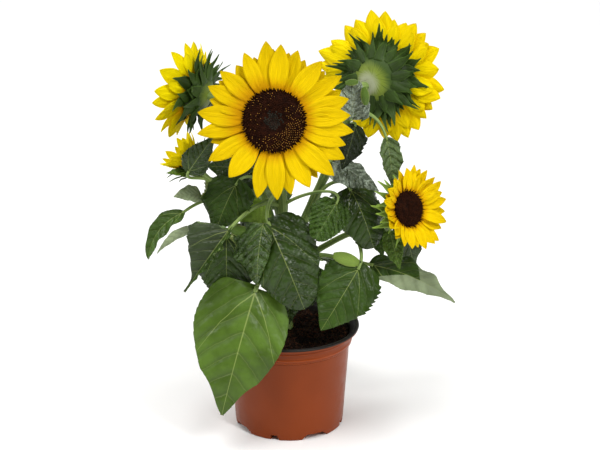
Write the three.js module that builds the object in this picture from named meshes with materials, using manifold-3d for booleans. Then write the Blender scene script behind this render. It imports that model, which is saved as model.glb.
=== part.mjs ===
// A potted sunflower plant: five flower heads on branching stems, ovate leaves on arched stalks,
// and a plastic nursery pot filled with potting soil. Millimetres, +Z up, +X to the right of the
// plant's front and -Y towards its front. The origin is the centre of the pot's flat underside.
import * as THREE from 'three';
import { mergeVertices } from 'three/addons/utils/BufferGeometryUtils.js';
import Module from 'manifold-3d';

const wasm = await Module();
wasm.setup();

// Driving dimensions of the pot
const POT_HEIGHT = 98;
const RIM_RADIUS = 65;
const COLLAR_RADIUS = 58;
const COLLAR_HEIGHT = 14;
const COLLAR_STEP = 1;
const COLLAR_FLARE = 0.6;
const BODY_TOP_RADIUS = 56;
const BASE_RADIUS = 50;
const BASE_CHAMFER = 1.5;
const RIM_THICKNESS = 3.5;
const RIM_WIDTH = 3;
const RIM_ROUND = 1;
const RIM_THROAT = 2;
const POT_SIDES = 40;
const WALL = 2.2;
const FLOOR = 7;
const NOTCH_HEIGHT = 5;
const NOTCH_DEPTH = 8;
const WIDE_NOTCH = 23;
const SMALL_NOTCH = 6;
const NOTCH_PAIRS = 4;
const FIRST_NOTCH = THREE.MathUtils.degToRad(-63);
const COLLAR_FOOT = POT_HEIGHT - RIM_THICKNESS - COLLAR_HEIGHT;
const RIM_FOOT = POT_HEIGHT - RIM_THICKNESS;

// Soil, and the gap that two touching pieces keep
const SOIL_TOP = 88;
const SOIL_MOUND = 4;
const SOIL_FLAT = 14;
const SOIL_SIDES = 24;
const GAP = 0.3;

// Leaves: thickness as a share of the length, and how the outline and the stalk are shaped
const THINNEST = 0.9;
const THICKNESS_SHARE = 0.014;
const WIDEST_POWER = 0.6;
const ROUNDNESS = 0.85;
const END_WIDTH = 0.05;
const THINNEST_STALK = 0.9;
const STALK_RADIUS_SHARE = 0.013;
const STALK_FOOT = 1.2;
const STALK_END = 0.75;
const STALK_SINK = 0.12;
const STALK_HANDLE = 0.4;
const STALK_LIFT = 0.8;
const STALK_SIDES = 5;
const STALK_STEPS = 4;
const LARGE_LEAF = 60;
const LARGE_GRID = [4, 6];
const SMALL_GRID = [2, 4];

// Flower heads: two rows of rays on a seat under the disc, and two rows of bracts on a green cup.
// The profiles are shares of the disc's radius and rise, and of the cup's radius.
const HEAD_SIDES = 18;
const LARGE_HEAD = 60;
const LARGE_RAY_STEPS = 3;
const SMALL_RAY_STEPS = 2;
const DISC_RISE_SHARE = 0.26;
const DISC_PROFILE = [[1, 0.35], [0.9, 0.85], [0.62, 1], [0, 0.7]];
const DISC_FOOT_SHARE = 0.94;
const SEAT_DEPTH = 2.2;
const SEAT_SHARE = 1.06;
const RAY_THICKNESS = 1;
const RAY_FOOT_PHASE = 0.17;
const RAY_PHASE_SPAN = 0.8;
const RAY_PHASE_POWER = 1.25;
const RAY_ROW_STEP = 1.2;
const INNER_RAY_SHARE = 0.95;
const CUP_DEPTH = 2;
const CUP_DEPTH_SHARE = 0.42;
const CUP_PROFILE = [[0.26, 0], [0.72, 0.14]];
const BRACT_THICKNESS = 1;
const BRACT_WIDTH_SHARE = 0.4;
const BRACT_TIP_SHARE = 0.06;
const BRACT_ROOT_SHARES = [0.8, 0.72];
const BRACT_TURN = 0.3;
const BRACT_DROP = 1.4;
const BRACT_ROW_STEP = 2.4;
const BRACT_ROW_CONE = 7;
const RAY_SWING = 0.09;
const BRACT_SWING = 0.15;
const NECK_RUN = 14;

// Stems: the points that each one passes, its radii and the head it carries
const STEM_SIDES = 8;
const STEM_STEP = 15;
const STEM_TENSION = 0.5;
const STEMS = {
  main: {
    name: 'main_stem',
    through: [[-4, 4, SOIL_TOP + SOIL_MOUND + GAP], [-6, 6, 150], [-7, 3, 205], [-9, 3, 258], [-12, -4, 288]],
    radii: [6.4, 4.2],
    head: 'front',
  },
  right: {
    name: 'right_tall_stem',
    from: ['main', 0.13],
    through: [[2, 22, 160], [28, 17, 226], [47, 6, 274], [54, 3, 302], [62, 16, 320]],
    radii: [4.6, 3.4],
    head: 'back_right',
  },
  left: {
    name: 'left_tall_stem',
    from: ['main', 0.2],
    through: [[-14, 19, 182], [-30, 30, 232], [-40, 26, 276], [-45, 24, 296]],
    radii: [4.2, 3.2],
    head: 'back_left',
  },
  low_right: {
    name: 'right_short_stem',
    from: ['main', 0.21],
    through: [[18, 11, 160], [42, 10, 176], [70, 4, 193]],
    radii: [3.6, 2.6],
    head: 'small_right',
  },
  low_left: {
    name: 'left_short_stem',
    from: ['main', 0.34],
    through: [[-36, 2, 210], [-62, -4, 231]],
    radii: [3.6, 2.8],
    head: 'small_left',
  },
};

// Flower heads: centre of the disc, the way it faces, and its form. Cone angles lean the rays and
// bracts forward from the flat.
const HEADS = {
  front: {
    name: 'front_flower', centre: [-13, -55, 316], faces: [0, -0.94, 0.35],
    disc: 27.5, reach: 71, rays: 26, rayWidth: 18, cone: [3, 9],
    bracts: 18, bractReach: 48, bractCone: -14,
  },
  back_right: {
    name: 'back_right_flower', centre: [85, 60, 319], faces: [0.425, 0.88, -0.217],
    disc: 27, reach: 62, rays: 26, rayWidth: 17, cone: [1, 7],
    bracts: 22, bractReach: 44, bractCone: -10,
  },
  back_left: {
    name: 'back_left_flower', centre: [-87, 45, 309], faces: [-0.85, 0.45, 0.12],
    disc: 21, reach: 47, rays: 20, rayWidth: 15, cone: [26, 38],
    bracts: 18, bractReach: 38, bractCone: 6,
  },
  small_right: {
    name: 'small_right_flower', centre: [107, -25, 221], faces: [0.623, -0.695, 0.36],
    disc: 16.2, reach: 40, rays: 20, rayWidth: 10.5, cone: [14, 24],
    bracts: 12, bractReach: 34, bractCone: -16,
  },
  small_left: {
    name: 'small_left_flower', centre: [-92, -16, 265], faces: [-0.55, -0.1, 0.83],
    disc: 11, reach: 27, rays: 14, rayWidth: 6.6, cone: [46, 60],
    bracts: 10, bractReach: 27, bractCone: 18,
  },
};

// Leaves. stem and at say where the stalk leaves its stem, as a share of the stem's length. base
// and tip are the ends of the blade's midrib, faces is the way that its upper side looks, fold
// lifts (or drops) the two halves in degrees, bow bends the midrib and lobe draws the base back,
// both as shares of the length.
const LEAVES = [
  { name: 'leaf_front_hanging', stem: 'main', at: 0.2, base: [-31, -52, 151], tip: [-62, -84, 42],
    faces: [-0.1, -0.95, 0.25], width: 85, fold: -8, bow: 0.09, lobe: 0.12 },
  { name: 'leaf_front_middle', stem: 'main', at: 0.42, base: [-20, -42, 217], tip: [14, -66, 139],
    faces: [0.05, -0.88, 0.45], width: 78, fold: -14, bow: 0.1, lobe: 0.12 },
  { name: 'leaf_left_folded', stem: 'main', at: 0.46, base: [-56, -46, 211], tip: [-91, -56, 159],
    faces: [-0.62, -0.72, 0.3], width: 50, fold: 38, bow: 0.06, lobe: 0.05 },
  { name: 'leaf_left_dark', stem: 'main', at: 0.3, base: [-60, -22, 193], tip: [-60, -34, 136],
    faces: [-0.1, -0.93, 0.3], width: 42, fold: 8, bow: 0.08, lobe: 0.05 },
  { name: 'leaf_far_left', stem: 'low_left', at: 0.42, base: [-98, -24, 217], tip: [-129, -40, 176],
    faces: [-0.5, -0.6, 0.6], width: 25, fold: 22, bow: 0.1, lobe: 0.03 },
  { name: 'leaf_far_left_rear', stem: 'left', at: 0.3, base: [-88, 4, 192], tip: [-124, -14, 170],
    faces: [-0.25, 0.45, 0.85], width: 26, fold: 18, bow: 0.1, lobe: 0.03 },
  { name: 'leaf_left_upper', stem: 'low_left', at: 0.62, base: [-80, -18, 231], tip: [-104, -28, 234],
    faces: [-0.2, -0.6, 0.78], width: 20, fold: 10, bow: 0.1, lobe: 0.03 },
  { name: 'leaf_left_middle', stem: 'main', at: 0.52, base: [-46, -22, 240], tip: [-79, -31, 215],
    faces: [-0.2, -0.82, 0.5], width: 42, fold: -8, bow: 0.1, lobe: 0.05 },
  { name: 'leaf_by_bud', stem: 'low_left', at: 0.76, base: [-88, -39, 259], tip: [-66, -40, 291],
    faces: [0, -0.93, 0.35], width: 27, fold: 6, bow: 0.08, lobe: 0.03 },
  { name: 'leaf_bud_outer', stem: 'low_left', at: 0.8, base: [-90, -24, 246], tip: [-112, -34, 249],
    faces: [0, -0.5, 0.86], width: 11, fold: 14, bow: 0.06, lobe: 0 },
  { name: 'leaf_middle_dark', stem: 'main', at: 0.6, base: [-26, -2, 247], tip: [-60, -8, 250],
    faces: [-0.1, -0.96, 0.24], width: 42, fold: 6, bow: 0.06, lobe: 0.03 },
  { name: 'leaf_flower_collar', stem: 'right', at: 0.84, base: [58, -16, 301], tip: [57, -22, 340],
    faces: [0.1, -0.95, 0.3], width: 24, fold: 10, bow: 0.06, lobe: 0.03 },
  { name: 'leaf_right_upper', stem: 'right', at: 0.7, base: [60, -8, 295], tip: [48, -22, 258],
    faces: [0.25, -0.85, 0.45], width: 30, fold: -6, bow: 0.08, lobe: 0.03 },
  { name: 'leaf_right_silver', stem: 'right', at: 0.58, base: [38, -12, 262], tip: [81, -32, 241],
    faces: [0.1, -0.62, 0.78], width: 36, fold: -20, bow: 0.08, lobe: 0.03 },
  { name: 'leaf_right_upright', stem: 'right', at: 0.78, base: [87, 12, 275], tip: [93, 0, 229],
    faces: [0.45, -0.87, 0.2], width: 27, fold: 20, bow: 0.05, lobe: 0.05 },
  { name: 'leaf_right_inner', stem: 'main', at: 0.5, base: [44, -32, 226], tip: [20, -48, 197],
    faces: [0.05, -0.78, 0.62], width: 38, fold: -10, bow: 0.1, lobe: 0.05 },
  { name: 'leaf_right_broad', stem: 'right', at: 0.4, base: [56, -10, 234], tip: [77, -26, 183],
    faces: [0.28, -0.85, 0.45], width: 42, fold: -8, bow: 0.1, lobe: 0.05 },
  { name: 'leaf_right_low', stem: 'low_right', at: 0.56, base: [66, -32, 169], tip: [28, -60, 116],
    faces: [0.12, -0.88, 0.45], width: 58, fold: -6, bow: 0.08, lobe: 0.1 },
  { name: 'leaf_far_right', stem: 'main', at: 0.26, base: [76, -8, 159], tip: [152, -30, 131],
    faces: [0.3, -0.55, 0.78], width: 44, fold: -16, bow: 0.1, lobe: 0.04 },
  { name: 'leaf_right_rear', stem: 'low_right', at: 0.7, base: [103, 22, 200], tip: [119, 16, 152],
    faces: [0.5, -0.8, 0.2], width: 30, fold: 8, bow: 0.08, lobe: 0.03 },
  { name: 'leaf_under_flower', stem: 'low_right', at: 0.84, base: [90, -20, 197], tip: [100, -30, 164],
    faces: [-0.15, -0.9, 0.4], width: 21, fold: 10, bow: 0.06, lobe: 0.03 },
  { name: 'leaf_right_notch', stem: 'low_right', at: 0.62, base: [80, -2, 194], tip: [86, -12, 168],
    faces: [-0.1, -0.85, 0.5], width: 17, fold: 8, bow: 0.06, lobe: 0.03 },
  { name: 'leaf_low_inner', stem: 'main', at: 0.17, base: [26, -14, 158], tip: [21, -30, 128],
    faces: [-0.1, -0.85, 0.5], width: 24, fold: 6, bow: 0.08, lobe: 0.03 },
  { name: 'leaf_low_front', stem: 'main', at: 0.08, base: [0, -30, 150], tip: [0, -48, 117],
    faces: [0, -0.85, 0.5], width: 28, fold: 6, bow: 0.08, lobe: 0.03 },
  { name: 'leaf_centre_pale', stem: 'main', at: 0.36, base: [-24, -2, 224], tip: [-38, -6, 204],
    faces: [-0.3, -0.6, 0.75], width: 20, fold: 12, bow: 0.06, lobe: 0.03 },
  { name: 'leaf_back_middle', stem: 'main', at: 0.44, base: [-20, 52, 216], tip: [-36, 100, 158],
    faces: [-0.1, 0.72, 0.68], width: 60, fold: -8, bow: 0.1, lobe: 0.08 },
  { name: 'leaf_back_right', stem: 'right', at: 0.24, base: [50, 46, 204], tip: [95, 84, 152],
    faces: [0.45, 0.5, 0.74], width: 56, fold: -8, bow: 0.1, lobe: 0.08 },
  { name: 'leaf_back_left', stem: 'left', at: 0.2, base: [-48, 50, 192], tip: [-84, 84, 136],
    faces: [-0.5, 0.5, 0.7], width: 56, fold: -8, bow: 0.1, lobe: 0.08 },
  { name: 'leaf_back_low_left', stem: 'left', at: 0.1, base: [-20, 46, 150], tip: [-28, 102, 102],
    faces: [-0.1, 0.65, 0.75], width: 54, fold: -8, bow: 0.14, lobe: 0.08 },
  { name: 'leaf_back_low_right', stem: 'main', at: 0.1, base: [30, 44, 144], tip: [56, 92, 100],
    faces: [0.35, 0.6, 0.72], width: 46, fold: -8, bow: 0.14, lobe: 0.08 },
  { name: 'leaf_back_high', stem: 'main', at: 0.66, base: [-12, 34, 262], tip: [-18, 84, 232],
    faces: [0, 0.5, 0.86], width: 44, fold: -6, bow: 0.1, lobe: 0.05 },
  { name: 'leaf_back_high_right', stem: 'right', at: 0.5, base: [36, 38, 250], tip: [50, 78, 228],
    faces: [0.2, 0.5, 0.84], width: 34, fold: -6, bow: 0.1, lobe: 0.05 },
];

// Finishes
const terracotta = { color: 0x91461f, roughness: 0.5, metalness: 0 };
const earth = { color: 0x1d120c, roughness: 1, metalness: 0 };
const stemGreen = { color: 0x6f8a3a, roughness: 0.6, metalness: 0 };
const leafGreen = { color: 0x2f5a24, roughness: 0.45, metalness: 0 };
const bractGreen = { color: 0x35602c, roughness: 0.6, metalness: 0 };
const rayYellow = { color: 0xf2c800, roughness: 0.55, metalness: 0 };
const discBrown = { color: 0x2a160b, roughness: 0.9, metalness: 0 };

const vector = (values) => new THREE.Vector3(...values);

// A three.js geometry as a solid that can be joined and cut, and back again
function toSolid(geometry) {
  const bare = geometry.clone();
  bare.deleteAttribute('normal');
  bare.deleteAttribute('uv');
  const merged = mergeVertices(bare, 1e-4);
  const mesh = new wasm.Mesh({
    numProp: 3,
    vertProperties: new Float32Array(merged.attributes.position.array),
    triVerts: new Uint32Array(merged.index.array),
  });
  return new wasm.Manifold(mesh);
}

function toGeometry(solid) {
  const result = solid.getMesh();
  const geometry = new THREE.BufferGeometry();
  geometry.setAttribute('position', new THREE.BufferAttribute(new Float32Array(result.vertProperties), 3));
  geometry.setIndex(new THREE.BufferAttribute(new Uint32Array(result.triVerts), 1));
  geometry.computeVertexNormals();
  return geometry;
}

function asMesh(name, geometry, finish) {
  const mesh = new THREE.Mesh(geometry, new THREE.MeshStandardMaterial(finish));
  mesh.name = name;
  return mesh;
}

// Moves every vertex of a geometry to the place that a function gives it.
function reshape(geometry, place) {
  const position = geometry.attributes.position;
  for (let index = 0; index < position.count; index += 1) {
    const moved = place(position.getX(index), position.getY(index), position.getZ(index));
    position.setXYZ(index, moved.x, moved.y, moved.z);
  }
  return geometry;
}

// A solid of revolution about +Z from [radius, height] pairs
function turned(profile, segments) {
  const points = profile.map(([radius, height]) => new THREE.Vector2(radius, height));
  return new THREE.LatheGeometry(points, segments).rotateX(Math.PI / 2);
}

// Pot: a turned cup with a collar and a flared lip, notched along the edge of its base for drainage
function makePot() {
  const cup = turned([
    [0, 0],
    [BASE_RADIUS - BASE_CHAMFER, 0],
    [BASE_RADIUS, BASE_CHAMFER],
    [BODY_TOP_RADIUS, COLLAR_FOOT],
    [COLLAR_RADIUS, COLLAR_FOOT + COLLAR_STEP],
    [COLLAR_RADIUS + COLLAR_FLARE, RIM_FOOT - RIM_THROAT],
    [RIM_RADIUS - RIM_ROUND, RIM_FOOT],
    [RIM_RADIUS, RIM_FOOT + RIM_THICKNESS / 2],
    [RIM_RADIUS - RIM_ROUND, POT_HEIGHT],
    [RIM_RADIUS - RIM_WIDTH, POT_HEIGHT],
    [COLLAR_RADIUS + COLLAR_FLARE - WALL, RIM_FOOT - RIM_THROAT],
    [COLLAR_RADIUS - WALL, COLLAR_FOOT],
    [BASE_RADIUS - WALL, FLOOR],
    [0, FLOOR],
  ], POT_SIDES);
  let pot = toSolid(cup);
  for (let index = 0; index < 2 * NOTCH_PAIRS; index += 1) {
    const width = index % 2 === 0 ? WIDE_NOTCH : SMALL_NOTCH;
    const notch = new THREE.BoxGeometry(2 * NOTCH_DEPTH, width, 2 * NOTCH_HEIGHT);
    notch.translate(BASE_RADIUS, 0, 0);
    notch.rotateZ(FIRST_NOTCH + (index * Math.PI) / NOTCH_PAIRS);
    pot = pot.subtract(toSolid(notch));
  }
  return asMesh('pot', toGeometry(pot), terracotta);
}

// Soil: fills the pot to a low mound with a flat top where the main stem stands
function makeSoil() {
  const inner = COLLAR_RADIUS - WALL - GAP;
  const filling = turned([
    [0, FLOOR + GAP],
    [BASE_RADIUS - WALL - GAP, FLOOR + GAP],
    [inner, COLLAR_FOOT],
    [inner, SOIL_TOP],
    [(inner + SOIL_FLAT) / 2, SOIL_TOP + SOIL_MOUND / 2],
    [SOIL_FLAT, SOIL_TOP + SOIL_MOUND],
    [0, SOIL_TOP + SOIL_MOUND],
  ], SOIL_SIDES);
  return asMesh('soil', filling, earth);
}

// A tapering round limb along a curve: a cylinder bent onto it, station by station
function limb(curve, startRadius, endRadius, sides, steps) {
  const frames = curve.computeFrenetFrames(steps, false);
  const shape = new THREE.CylinderGeometry(1, 1, 1, sides, steps);
  return reshape(shape, (x, y, z) => {
    const station = Math.round((0.5 + y) * steps);
    const along = station / steps;
    const radius = startRadius + (endRadius - startRadius) * along;
    return curve.getPointAt(along)
      .addScaledVector(frames.normals[station], x * radius)
      .addScaledVector(frames.binormals[station], -z * radius);
  });
}

const cupDepth = (head) => CUP_DEPTH + CUP_DEPTH_SHARE * head.disc;

// The point behind the middle of a head's green cup, at a distance from it
function headBack(head, clearance) {
  const depth = cupDepth(head) + SEAT_DEPTH + GAP + clearance;
  return vector(head.centre).addScaledVector(vector(head.faces).normalize(), -depth);
}

const stemCurves = {};
const stemSleeves = {};

function makeStem(key) {
  const stem = STEMS[key];
  const points = stem.through.map(vector);
  if (stem.from) {
    points.unshift(stemCurves[stem.from[0]].getPointAt(stem.from[1]));
  }
  points.push(headBack(HEADS[stem.head], NECK_RUN));
  points.push(headBack(HEADS[stem.head], GAP));
  const curve = new THREE.CatmullRomCurve3(points, false, 'catmullrom', STEM_TENSION);
  const steps = Math.round(curve.getLength() / STEM_STEP);
  const [start, end] = stem.radii;
  stemCurves[key] = curve;
  stemSleeves[key] = toSolid(limb(curve, start + GAP, end + GAP, STEM_SIDES, steps));
  let solid = toSolid(limb(curve, start, end, STEM_SIDES, steps));
  if (stem.from) {
    solid = solid.subtract(stemSleeves[stem.from[0]]);
  }
  return asMesh(stem.name, toGeometry(solid), stemGreen);
}

// Half the width of a leaf at a share t of its length, as a share of its full half width
function leafOutline(t) {
  const swell = Math.sin(Math.PI * Math.pow(t, WIDEST_POWER));
  return Math.max(END_WIDTH, Math.pow(Math.max(swell, 0), ROUNDNESS));
}

function leafFrame(leaf) {
  const base = vector(leaf.base);
  const along = vector(leaf.tip).sub(base);
  const length = along.length();
  along.normalize();
  const up = vector(leaf.faces);
  up.addScaledVector(along, -up.dot(along)).normalize();
  const side = new THREE.Vector3().crossVectors(up, along);
  return { base, along, up, side, length };
}

function makeBlade(leaf, frame) {
  const { base, along, up, side, length } = frame;
  const [columns, rows] = length > LARGE_LEAF ? LARGE_GRID : SMALL_GRID;
  const thickness = Math.max(THINNEST, THICKNESS_SHARE * length);
  const angle = THREE.MathUtils.degToRad(leaf.fold);
  const slab = new THREE.BoxGeometry(2, 1, 1, columns, 1, rows);
  return reshape(slab, (across, height, depth) => {
    const t = depth + 0.5;
    const half = 0.5 * leaf.width * leafOutline(t);
    const drawnBack = leaf.lobe * across * across * (1 - t) * (1 - t);
    const arch = 4 * leaf.bow * t * (1 - t) * length;
    return base.clone()
      .addScaledVector(along, (t - drawnBack) * length)
      .addScaledVector(side, across * half * Math.cos(angle))
      .addScaledVector(up, Math.abs(across) * half * Math.sin(angle) + arch + height * thickness);
  });
}

// A leaf's stalk runs from inside its stem in an arch to the blade, and on under the midrib.
function makeStalk(leaf, frame) {
  const { base, along, up, length } = frame;
  const start = stemCurves[leaf.stem].getPointAt(leaf.at);
  const arrival = along.clone().addScaledVector(up, 4 * leaf.bow).normalize();
  const reach = base.distanceTo(start) * STALK_HANDLE;
  const departure = base.clone().sub(start).normalize().add(new THREE.Vector3(0, 0, STALK_LIFT)).normalize();
  const radius = THINNEST_STALK + STALK_RADIUS_SHARE * length;
  const end = base.clone().addScaledVector(arrival, STALK_SINK * length);
  const curve = new THREE.CubicBezierCurve3(
    start,
    start.clone().addScaledVector(departure, reach),
    base.clone().addScaledVector(arrival, -reach),
    end,
  );
  return limb(curve, STALK_FOOT * radius, STALK_END * radius, STALK_SIDES, STALK_STEPS);
}

function makeLeaf(leaf) {
  const frame = leafFrame(leaf);
  const blade = toSolid(makeBlade(leaf, frame));
  const stalk = toSolid(makeStalk(leaf, frame));
  const whole = blade.add(stalk).subtract(stemSleeves[leaf.stem]);
  return asMesh(leaf.name, toGeometry(whole), leafGreen);
}

// Half the width of a ray or bract at a share t of its length, as a share of its full half width:
// a ray's follows a sine from the phase at its foot to the one at its tip
const rayPhase = (t) => RAY_FOOT_PHASE + RAY_PHASE_SPAN * Math.pow(t, RAY_PHASE_POWER);
const rayOutline = (t) => Math.sin(Math.PI * rayPhase(t));
const bractOutline = (t) => Math.max(BRACT_TIP_SHARE, 1 - t);

// One blade of a flower head, in the head's own frame, where +Z is the way that it faces
function headBlade(blade, segments) {
  const slab = new THREE.BoxGeometry(2, 1, 1, 1, 1, segments);
  const outward = new THREE.Vector3(Math.cos(blade.turn), Math.sin(blade.turn), 0);
  const sideways = new THREE.Vector3(-Math.sin(blade.turn), Math.cos(blade.turn), 0);
  const forward = new THREE.Vector3(0, 0, 1);
  const level = Math.cos(blade.cone);
  const lean = Math.sin(blade.cone);
  const along = outward.clone().multiplyScalar(level).addScaledVector(forward, lean);
  const up = forward.clone().multiplyScalar(level).addScaledVector(outward, -lean);
  return reshape(slab, (across, height, depth) => {
    const t = depth + 0.5;
    return outward.clone().multiplyScalar(blade.root)
      .addScaledVector(forward, blade.rise)
      .addScaledVector(along, t * blade.length)
      .addScaledVector(sideways, across * 0.5 * blade.width * blade.outline(t))
      .addScaledVector(up, height * blade.thickness);
  });
}

// The seeded unevenness of a repeated blade
const swing = (index, seed) => Math.sin(index * 12.9898 + seed);

function makeDisc(head) {
  const rise = DISC_RISE_SHARE * head.disc;
  const crown = DISC_PROFILE.map(([radius, height]) => [radius * head.disc, height * rise]);
  const cushion = turned([[0, GAP], [DISC_FOOT_SHARE * head.disc, GAP], ...crown], HEAD_SIDES);
  return asMesh(`${head.name}_disc`, cushion, discBrown);
}

function makeRays(head) {
  const seat = SEAT_SHARE * head.disc;
  const steps = head.reach > LARGE_HEAD ? LARGE_RAY_STEPS : SMALL_RAY_STEPS;
  let ring = toSolid(turned([[0, -SEAT_DEPTH], [seat, -SEAT_DEPTH], [seat, 0], [0, 0]], HEAD_SIDES));
  for (let index = 0; index < head.rays; index += 1) {
    const row = index % 2;
    const share = row === 0 ? 1 : INNER_RAY_SHARE;
    const length = (head.reach - head.disc) * share * (1 + RAY_SWING * swing(index, head.disc));
    const ray = headBlade({
      turn: (2 * Math.PI * index) / head.rays,
      cone: THREE.MathUtils.degToRad(head.cone[row]),
      root: head.disc,
      rise: -SEAT_DEPTH / 2 + (row - 0.5) * RAY_ROW_STEP,
      length,
      width: head.rayWidth,
      thickness: RAY_THICKNESS,
      outline: rayOutline,
    }, steps);
    ring = ring.add(toSolid(ray));
  }
  return asMesh(`${head.name}_rays`, toGeometry(ring), rayYellow);
}

function makeBracts(head) {
  const top = -SEAT_DEPTH - GAP;
  const back = top - cupDepth(head);
  const flank = CUP_PROFILE.map(([radius, height]) => [radius * head.disc, back + height * head.disc]);
  let cup = toSolid(turned([[0, back], ...flank, [head.disc, top], [0, top]], HEAD_SIDES));
  for (let index = 0; index < head.bracts; index += 1) {
    const row = index % 2;
    const root = BRACT_ROOT_SHARES[row] * head.disc;
    const bract = headBlade({
      turn: (2 * Math.PI * (index + BRACT_TURN)) / head.bracts,
      cone: THREE.MathUtils.degToRad(head.bractCone - BRACT_ROW_CONE * row),
      root,
      rise: top - BRACT_DROP - BRACT_ROW_STEP * row,
      length: (head.bractReach - root) * (1 + BRACT_SWING * swing(index, head.reach)),
      width: BRACT_WIDTH_SHARE * head.disc,
      thickness: BRACT_THICKNESS,
      outline: bractOutline,
    }, 1);
    cup = cup.add(toSolid(bract));
  }
  return asMesh(`${head.name}_bracts`, toGeometry(cup), bractGreen);
}

function makeHead(head) {
  const group = new THREE.Group();
  group.position.copy(vector(head.centre));
  group.quaternion.setFromUnitVectors(new THREE.Vector3(0, 0, 1), vector(head.faces).normalize());
  group.add(makeDisc(head), makeRays(head), makeBracts(head));
  return group;
}

const plant = new THREE.Group();
plant.add(makePot(), makeSoil());
for (const key of Object.keys(STEMS)) {
  plant.add(makeStem(key));
}
for (const head of Object.values(HEADS)) {
  plant.add(makeHead(head));
}
for (const leaf of LEAVES) {
  plant.add(makeLeaf(leaf));
}

export default plant;
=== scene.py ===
import math
import random
from collections import namedtuple

import bmesh
import bpy
from bpy.props import FloatProperty, FloatVectorProperty, IntProperty, PointerProperty
from mathutils import Matrix, Vector, noise
from mathutils.geometry import interpolate_bezier


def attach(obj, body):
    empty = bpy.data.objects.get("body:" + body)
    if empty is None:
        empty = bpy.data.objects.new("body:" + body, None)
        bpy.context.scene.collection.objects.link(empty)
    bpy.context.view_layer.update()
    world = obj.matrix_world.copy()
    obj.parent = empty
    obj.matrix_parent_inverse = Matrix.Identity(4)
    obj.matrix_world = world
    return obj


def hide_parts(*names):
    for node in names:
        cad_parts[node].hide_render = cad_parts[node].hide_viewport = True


bl_info = {
    "name": "Potted Sunflower",
    "version": (1, 0, 0),
    "blender": (4, 5, 0),
    "location": "View3D > Sidebar > Sunflower",
    "description": "Grows a flowering sunflower plant in its plastic nursery pot",
    "category": "Add Mesh",
}

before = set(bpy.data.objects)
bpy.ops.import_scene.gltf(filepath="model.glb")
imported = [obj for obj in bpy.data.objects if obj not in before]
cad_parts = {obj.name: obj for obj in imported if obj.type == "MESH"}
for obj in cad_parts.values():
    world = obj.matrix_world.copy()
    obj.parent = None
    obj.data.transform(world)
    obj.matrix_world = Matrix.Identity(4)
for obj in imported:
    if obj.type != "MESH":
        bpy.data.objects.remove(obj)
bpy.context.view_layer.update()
BODY = "root"
UP = Vector((0, 0, 1))
FULL_TURN = 2 * math.pi

# Stems: where each one starts, the points it passes, its two radii and the head it carries
Stem = namedtuple("Stem", "name start through radii head")
STEMS = {
    "main": Stem(
        "main_stem", None,
        [(-0.004, 0.004, 0.0900), (-0.006, 0.006, 0.150), (-0.007, 0.003, 0.205), (-0.009, 0.003, 0.258),
         (-0.012, -0.004, 0.288)], (0.0064, 0.0042), "front"),
    "right": Stem(
        "right_tall_stem", ("main", 0.13),
        [(0.002, 0.022, 0.160), (0.028, 0.017, 0.226), (0.047, 0.006, 0.274), (0.054, 0.003, 0.302),
         (0.062, 0.016, 0.320)], (0.0046, 0.0034), "back_right"),
    "left": Stem(
        "left_tall_stem", ("main", 0.2),
        [(-0.014, 0.019, 0.182), (-0.030, 0.030, 0.232), (-0.040, 0.026, 0.276), (-0.045, 0.024, 0.296)],
        (0.0042, 0.0032), "back_left"),
    "low_right": Stem(
        "right_short_stem", ("main", 0.21),
        [(0.018, 0.011, 0.160), (0.042, 0.010, 0.176), (0.070, 0.004, 0.193)],
        (0.0031, 0.0024), "small_right"),
    "low_left": Stem(
        "left_short_stem", ("main", 0.34),
        [(-0.036, 0.002, 0.210), (-0.062, -0.004, 0.231)], (0.0036, 0.0028), "small_left"),
}

# Heads: the disc's centre, the way it faces and its radius, the rays' width and the angle they lean
# forward, how much lighter and wilder they are than the front flower's (the lighter yellow is painted
# light, for the glow of back-lit rays), the clock angle round which their feet carry painted shade, and
# the bracts' number, reach and lean. Angles are in degrees.
Head = namedtuple("Head", "name centre faces disc width lean light wild warm bracts bract_reach bract_lean")
HEADS = {
    "front": Head("front_flower", (-0.013, -0.055, 0.316), (0, -0.94, 0.35),
                  0.0275, 0.0172, 3, 1.0, 1.0, 150, 26, 0.048, -20),
    "back_right": Head("back_right_flower", (0.085, 0.060, 0.319), (0.425, 0.88, -0.217),
                       0.027, 0.0190, 3, 1.38, 1.4, -95, 26, 0.047, -10),
    "back_left": Head("back_left_flower", (-0.087, 0.045, 0.309), (-0.85, 0.45, 0.12),
                      0.021, 0.0145, 24, 1.45, 1.4, -80, 24, 0.042, 6),
    "small_right": Head("small_right_flower", (0.107, -0.025, 0.221), (0.623, -0.695, 0.36),
                        0.0162, 0.0115, 18, 1.15, 1.9, 155, 16, 0.034, -16),
    "small_left": Head("small_left_flower", (-0.092, -0.016, 0.265), (-0.72, 0.05, 0.69),
                       0.011, 0.0082, 56, 1.45, 1.5, None, 12, 0.028, 42),
}
# The head whose back shows, and how far from its middle the stem joins it
OPEN_BACK = "back_right_flower"
OPEN_BACK_SHIFT = Vector((-0.0085, 0.0, -0.0085))
# The head whose bracts are young and bright
YOUNG_BRACTS = "small_right_flower"

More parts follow.
